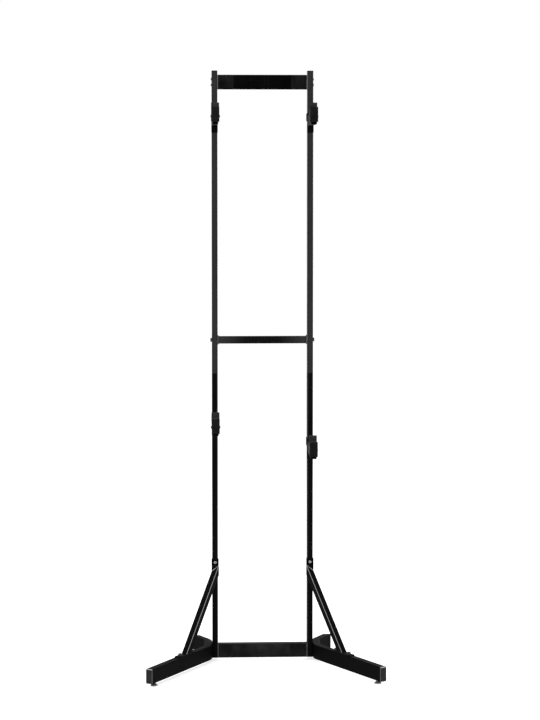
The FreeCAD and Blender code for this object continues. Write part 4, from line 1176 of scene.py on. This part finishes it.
@dataclass
class Support:
    """One height-adjustable support: arm, cradle, pad and clamp."""

    label: str
    finishes: Finishes
    lip_above_floor: float = 22.0 * MM
    bowl_radius: float = 23.0 * MM
    bowl_above_lip: float = 6.0 * MM
    back_rise: float = 16.0 * MM
    rounding: float = 1.6 * MM
    rib_wide: float = 4.0 * MM
    rib_proud: float = 1.2 * MM

    def lip_angle(self, radius: float) -> float:
        """Where a circle about the trough's centre comes down to the lip, in degrees."""
        return 180.0 + math.degrees(math.asin(self.bowl_above_lip / radius))

    def cradle(self) -> None:
        """Moulded cradle with rounded edges, ribs, skirts and a lined trough."""
        low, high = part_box(f"{self.label}_cradle")
        pad_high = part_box(f"{self.label}_cradle_pad")[1]
        front, rear = low.y + self.rib_proud, high.y
        x = (low.x + high.x) / 2
        half = (high.x - low.x) / 2
        lip = high.z - self.back_rise
        trough = (pad_high.y - self.bowl_radius, lip + self.bowl_above_lip)
        arm_top = lip - self.lip_above_floor
        inner = front + 8.0 * MM
        bowl = arc(trough, self.bowl_radius, 360.0, self.lip_angle(self.bowl_radius), 28)
        outline = [(front, low.z), (inner, low.z), (inner, arm_top), (rear, arm_top), (rear, high.z),
                   (pad_high.y, high.z), *bowl, (front, lip)]
        made = extruded(f"{self.label}_cradle_shell", outline, -half, half)
        skirt_low = arm_top - 16.0 * MM
        skirts = []
        for side in Side:
            edge = (side.value * 10.1 * MM, side.value * half)
            plate = [(inner - 1.0 * MM, arm_top + 1.0 * MM), (inner - 1.0 * MM, skirt_low),
                     *arc((rear - 6.0 * MM, skirt_low + 6.0 * MM), 6.0 * MM, 270.0, 360.0, 5),
                     (rear, arm_top + 1.0 * MM)]
            skirts.append(extruded("skirt", plate, min(edge), max(edge)))
        joined(made, *skirts)
        softened(made, self.rounding)
        ribs = []
        for side in Side:
            centre = side.value * 7.0 * MM
            plate = rounded_rectangle(self.rib_wide, lip - 7.0 * MM - low.z, self.rib_wide / 2 * 0.9)
            rib = extruded("rib", plate, front - self.rib_proud, front + 1.0 * MM, Plane.XZ)
            softened(rib, 0.5 * MM, 2)
            moved(rib, centre, 0.0, (lip - 7.0 * MM + low.z) / 2 + 0.5 * MM)
            ribs.append(rib)
        joined(made, *ribs)
        moved(made, x, 0.0, 0.0)
        dress(made, self.finishes.plastic, f"{self.label}_support")
        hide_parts(f"{self.label}_cradle")
        self.liner(trough, lip, x, pad_high)

    def liner(self, trough: Point, lip: float, x: float, pad_high: Vector) -> None:
        """Rubber liner with fine grooves across the trough.

        Args:
            trough: The trough's centre, front to back and up.
            lip: Height of the front lip.
            x: The support's centre.
            pad_high: Highest corner of the liner's box.
        """
        outer, inner = 22.9 * MM, 20.0 * MM
        groove = inner + 0.7 * MM
        start = self.lip_angle(inner)
        outline: list[Point] = []
        grooves = 22
        for index in range(grooves):
            a = start + (360.0 - start) * index / grooves
            span = (360.0 - start) / grooves
            for share, radius in ((0.0, inner), (0.55, inner), (0.68, groove), (0.87, groove)):
                outline += arc(trough, radius, a + span * share, a + span * share, 1)[:1]
        outline += [(trough[0] + inner, trough[1]), (trough[0] + inner, pad_high.z - 0.6 * MM),
                    (trough[0] + inner + 0.6 * MM, pad_high.z), (trough[0] + outer - 0.5 * MM, pad_high.z),
                    (trough[0] + outer, pad_high.z - 0.5 * MM)]
        outline += arc(trough, outer, 360.0, self.lip_angle(self.bowl_radius), 28)
        made = extruded(f"{self.label}_liner", outline, x - 12.5 * MM, x + 12.5 * MM)
        dress(made, self.finishes.rubber, f"{self.label}_support")
        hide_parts(f"{self.label}_cradle_pad")

    def arm(self) -> None:
        """Coat the arm, weld it and screw the cradle on."""
        paint(f"{self.label}_arm", self.finishes.coat_lower)
        paint(f"{self.label}_pressure_pad", self.finishes.rubber)
        low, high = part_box(f"{self.label}_cradle")
        x = (low.x + high.x) / 2
        arm_top = high.z - self.back_rise - self.lip_above_floor
        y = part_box("right_upper_upright")[0].y - 3.3 * MM
        ring = [Vector((x + a * 10.0 * MM, y, arm_top - 18.0 * MM + b * 18.0 * MM)) for a, b in CORNERS]
        bead = weld_bead(f"{self.label}_arm_weld", ring, 0.9 * MM)
        dress(bead, self.finishes.coat_lower, f"{self.label}_support")
        node = f"{self.label}_cradle_screws"
        screw_middle = middle(node)
        for side, facing in ((Side.LEFT, Facing.LEFT), (Side.RIGHT, Facing.RIGHT)):
            place = Vector((x + side.value * 13.5 * MM, screw_middle.y, screw_middle.z))
            kind = RoundScrew(length=5.5 * MM, socket=1.6 * MM)
            screw = kind.build(f"{node}_{side.word}", place, Euler(facing.value))
            dress(screw, self.finishes.dark_zinc, f"{self.label}_support")
            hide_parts(node)

    def clamp(self) -> None:
        """Threaded stud and moulded cross handle."""
        body = f"{self.label}_clamp_screw"
        stud_low, stud_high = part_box(f"{self.label}_clamp_stud")
        centre = (stud_low + stud_high) / 2
        stud = ThreadedRod().build(f"{self.label}_clamp_thread", stud_high.y - stud_low.y)
        turn = Matrix.Rotation(-math.pi / 2, 4, "X")
        stud.data.transform(Matrix.Translation((centre.x, stud_low.y, centre.z)) @ turn)
        dress(stud, self.finishes.zinc, body)
        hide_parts(f"{self.label}_clamp_stud")

        low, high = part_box(f"{self.label}_clamp_handle")
        hub_long = high.y - low.y
        rings = [(6.0 * MM, 0.0), (7.2 * MM, 0.4 * MM), (7.6 * MM, 1.6 * MM), (7.6 * MM, hub_long * 0.4),
                 (8.0 * MM, hub_long * 0.46), (8.0 * MM, hub_long - 1.6 * MM),
                 (7.4 * MM, hub_long - 0.5 * MM), (6.2 * MM, hub_long)]
        hub = turned("hub", rings, 40)
        hub.data.transform(turn)
        half = (high.z - low.z) / 2
        grip = ((5.3 * MM, 14 * MM), (6.0 * MM, 6 * MM), (5.4 * MM, 2.2 * MM), (3.4 * MM, 0.0))
        right = [(a, inset - half) for a, inset in grip[::-1]] + [(a, half - inset) for a, inset in grip]
        outline = right + [(-a, b) for a, b in right[::-1]]
        bar = extruded("bar", outline, hub_long * 0.4, hub_long, Plane.XZ)
        softened(bar, 2.0 * MM, 4)
        made = joined(hub, bar)
        made.name = f"{self.label}_cross_handle"
        moved(made, (low.x + high.x) / 2, low.y, (low.z + high.z) / 2)
        dress(made, self.finishes.plastic, body)
        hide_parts(f"{self.label}_clamp_handle")

    def build(self) -> None:
        """Make the whole support."""
        self.cradle()
        self.arm()
        self.clamp()
        log.info("%s support done", self.label)


@dataclass
class Foot:
    """A levelling foot: rubber-faced pad and threaded stud with a wrench hexagon."""

    label: str
    finishes: Finishes
    hexagon: float = 5.0 * MM

    def pad(self) -> None:
        """The floor pad, with a rounded rim, a tapered neck and a hollow in its top."""
        low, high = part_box(f"{self.label}_foot_pad")
        radius, tall = (high.x - low.x) / 2, high.z - low.z
        rings = [(radius - 0.8 * MM, 0.0), (radius - 0.2 * MM, 0.25 * MM), (radius, 0.8 * MM),
                 (radius, 1.9 * MM), (radius - 0.3 * MM, 2.4 * MM), (radius - 1.2 * MM, 2.7 * MM),
                 (8.6 * MM, 5.0 * MM), (7.0 * MM, 7.0 * MM), (6.5 * MM, tall - 0.3 * MM), (6.2 * MM, tall),
                 (4.2 * MM, tall), (4.1 * MM, tall - 2.8 * MM), (1.0 * MM, tall - 3.0 * MM)]
        made = turned(f"{self.label}_floor_pad", rings, 48)
        moved(made, (low.x + high.x) / 2, (low.y + high.y) / 2, low.z)
        dress(made, self.finishes.foot_rubber, f"{self.label}_foot")
        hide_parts(f"{self.label}_foot_pad")

    def stud(self) -> None:
        """The threaded stud with its hexagon."""
        node = f"{self.label}_foot_stud"
        low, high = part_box(node)
        rod = ThreadedRod().build("rod", high.z - low.z)
        flats = hexagon_reach(self.hexagon)
        corner = self.hexagon / math.cos(math.pi / 6)
        base = 2.8 * MM
        face = self.hexagon * 0.96
        rings = [(3.0 * MM, base), (face, base), (corner, base + 0.4 * MM), (corner, base + 2.1 * MM),
                 (face, base + 2.5 * MM), (3.0 * MM, base + 2.5 * MM)]
        nut = turned("nut", rings, 36, lambda radius, angle, height: flats(radius, angle))
        made = joined(rod, nut)
        made.name = f"{self.label}_levelling_stud"
        moved(made, (low.x + high.x) / 2, (low.y + high.y) / 2, low.z)
        dress(made, self.finishes.zinc, f"{self.label}_foot_screw")
        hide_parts(node)

    def build(self) -> None:
        """Make the whole foot."""
        self.pad()
        self.stud()
        log.info("%s foot done", self.label)


@dataclass
class Studio:
    """White room, soft lamps and the photograph's camera."""

    distance: float = 7.0
    camera_x: float = -0.2548
    camera_high: float = 1.6942
    pitch: float = 3.0
    yaw: float = 2.302
    focal_pixels: float = 2025.7
    frame_high: int = 720
    sensor: float = 36.0
    shift: float = -0.1105
    floor_glow: float = 0.62

    def camera(self) -> None:
        """The camera, at the photograph's place and angle."""
        data = bpy.data.cameras.new("camera")
        data.sensor_fit = "AUTO"
        data.sensor_width = self.sensor
        data.lens = self.focal_pixels / self.frame_high * self.sensor
        data.shift_y = self.shift
        data.clip_end = 100.0
        camera = bpy.data.objects.new("camera", data)
        plane = middle("right_lower_upright").y
        camera.location = (self.camera_x, plane - self.distance, self.camera_high)
        camera.rotation_euler = (math.radians(90.0 - self.pitch), 0.0, math.radians(-self.yaw))
        bpy.context.scene.collection.objects.link(camera)
        bpy.context.scene.camera = camera

    def lamp(self, name: str, place: Colour, target: Colour, size: Point, power: float) -> None:
        """A rectangular soft lamp.

        Args:
            name: The lamp's name.
            place: Where it stands.
            target: What it looks at.
            size: Its width and height.
            power: Its power in watts.
        """
        data = bpy.data.lights.new(name, "AREA")
        data.shape = "RECTANGLE"
        data.size, data.size_y = size
        data.energy = power
        lamp = bpy.data.objects.new(name, data)
        lamp.location = place
        lamp.rotation_euler = (Vector(target) - Vector(place)).to_track_quat("-Z", "Y").to_euler()
        bpy.context.scene.collection.objects.link(lamp)

    def lamps(self) -> None:
        """Key from the front left, fill from the right and a strip from behind."""
        self.lamp("key", (-2.6, -3.2, 3.4), (0.0, 0.1, 1.0), (1.8, 2.4), 120.0)
        self.lamp("fill", (3.4, -2.4, 2.0), (0.0, 0.1, 1.0), (1.6, 2.6), 55.0)
        self.lamp("top", (0.0, 0.6, 4.6), (0.0, 0.1, 1.0), (2.5, 2.5), 60.0)
        self.lamp("rear", (1.8, 3.4, 2.4), (0.0, 0.1, 1.0), (1.2, 2.6), 45.0)

    def world(self) -> None:
        """A world that looks white and lights the object at a plain level."""
        world = bpy.data.worlds.new("white_room")
        world.use_nodes = True
        shader = NodeTree(world.node_tree)
        output = shader.tree.nodes.new("ShaderNodeOutputWorld")
        strength = shader.background_seen() * 0.5 + 0.5
        background = shader.node("ShaderNodeBackground", {"Color": (1.0, 1.0, 1.0), "Strength": strength})
        shader.tree.links.new(background.socket, output.inputs["Surface"])
        bpy.context.scene.world = world

    def floor(self) -> None:
        """A pale floor that looks white but keeps the object's shadow."""
        shape = bmesh.new()
        bmesh.ops.create_grid(shape, x_segments=1, y_segments=1, size=30.0)
        made = outline_of(shape, "floor")
        shader = Shader("white_floor")
        shader.dress({"Specular IOR Level": 0.0}, base_color=grey(0.86), roughness=0.9)
        shader.feed(shader.surface.inputs["Emission Color"], (1.0, 1.0, 1.0))
        shader.feed(shader.surface.inputs["Emission Strength"], shader.background_seen() * self.floor_glow)
        made.data.materials.append(shader.material)

    def build(self) -> None:
        """Set the whole stage."""
        self.camera()
        self.lamps()
        self.world()
        self.floor()
        bpy.context.scene.view_settings.view_transform = "Standard"
        log.info("studio done")


def main() -> None:
    """Build every piece."""
    logging.basicConfig(level=logging.INFO)
    finishes = Finishes()
    Studio().build()
    TowerFrame(finishes).build()
    for level in ("upper", "lower"):
        for side in Side:
            Support(f"{level}_{side.word}", finishes).build()
    for end in ("front", "rear"):
        for side in Side:
            Foot(f"{end}_{side.word}", finishes).build()


if __name__ == "__main__":
    main()
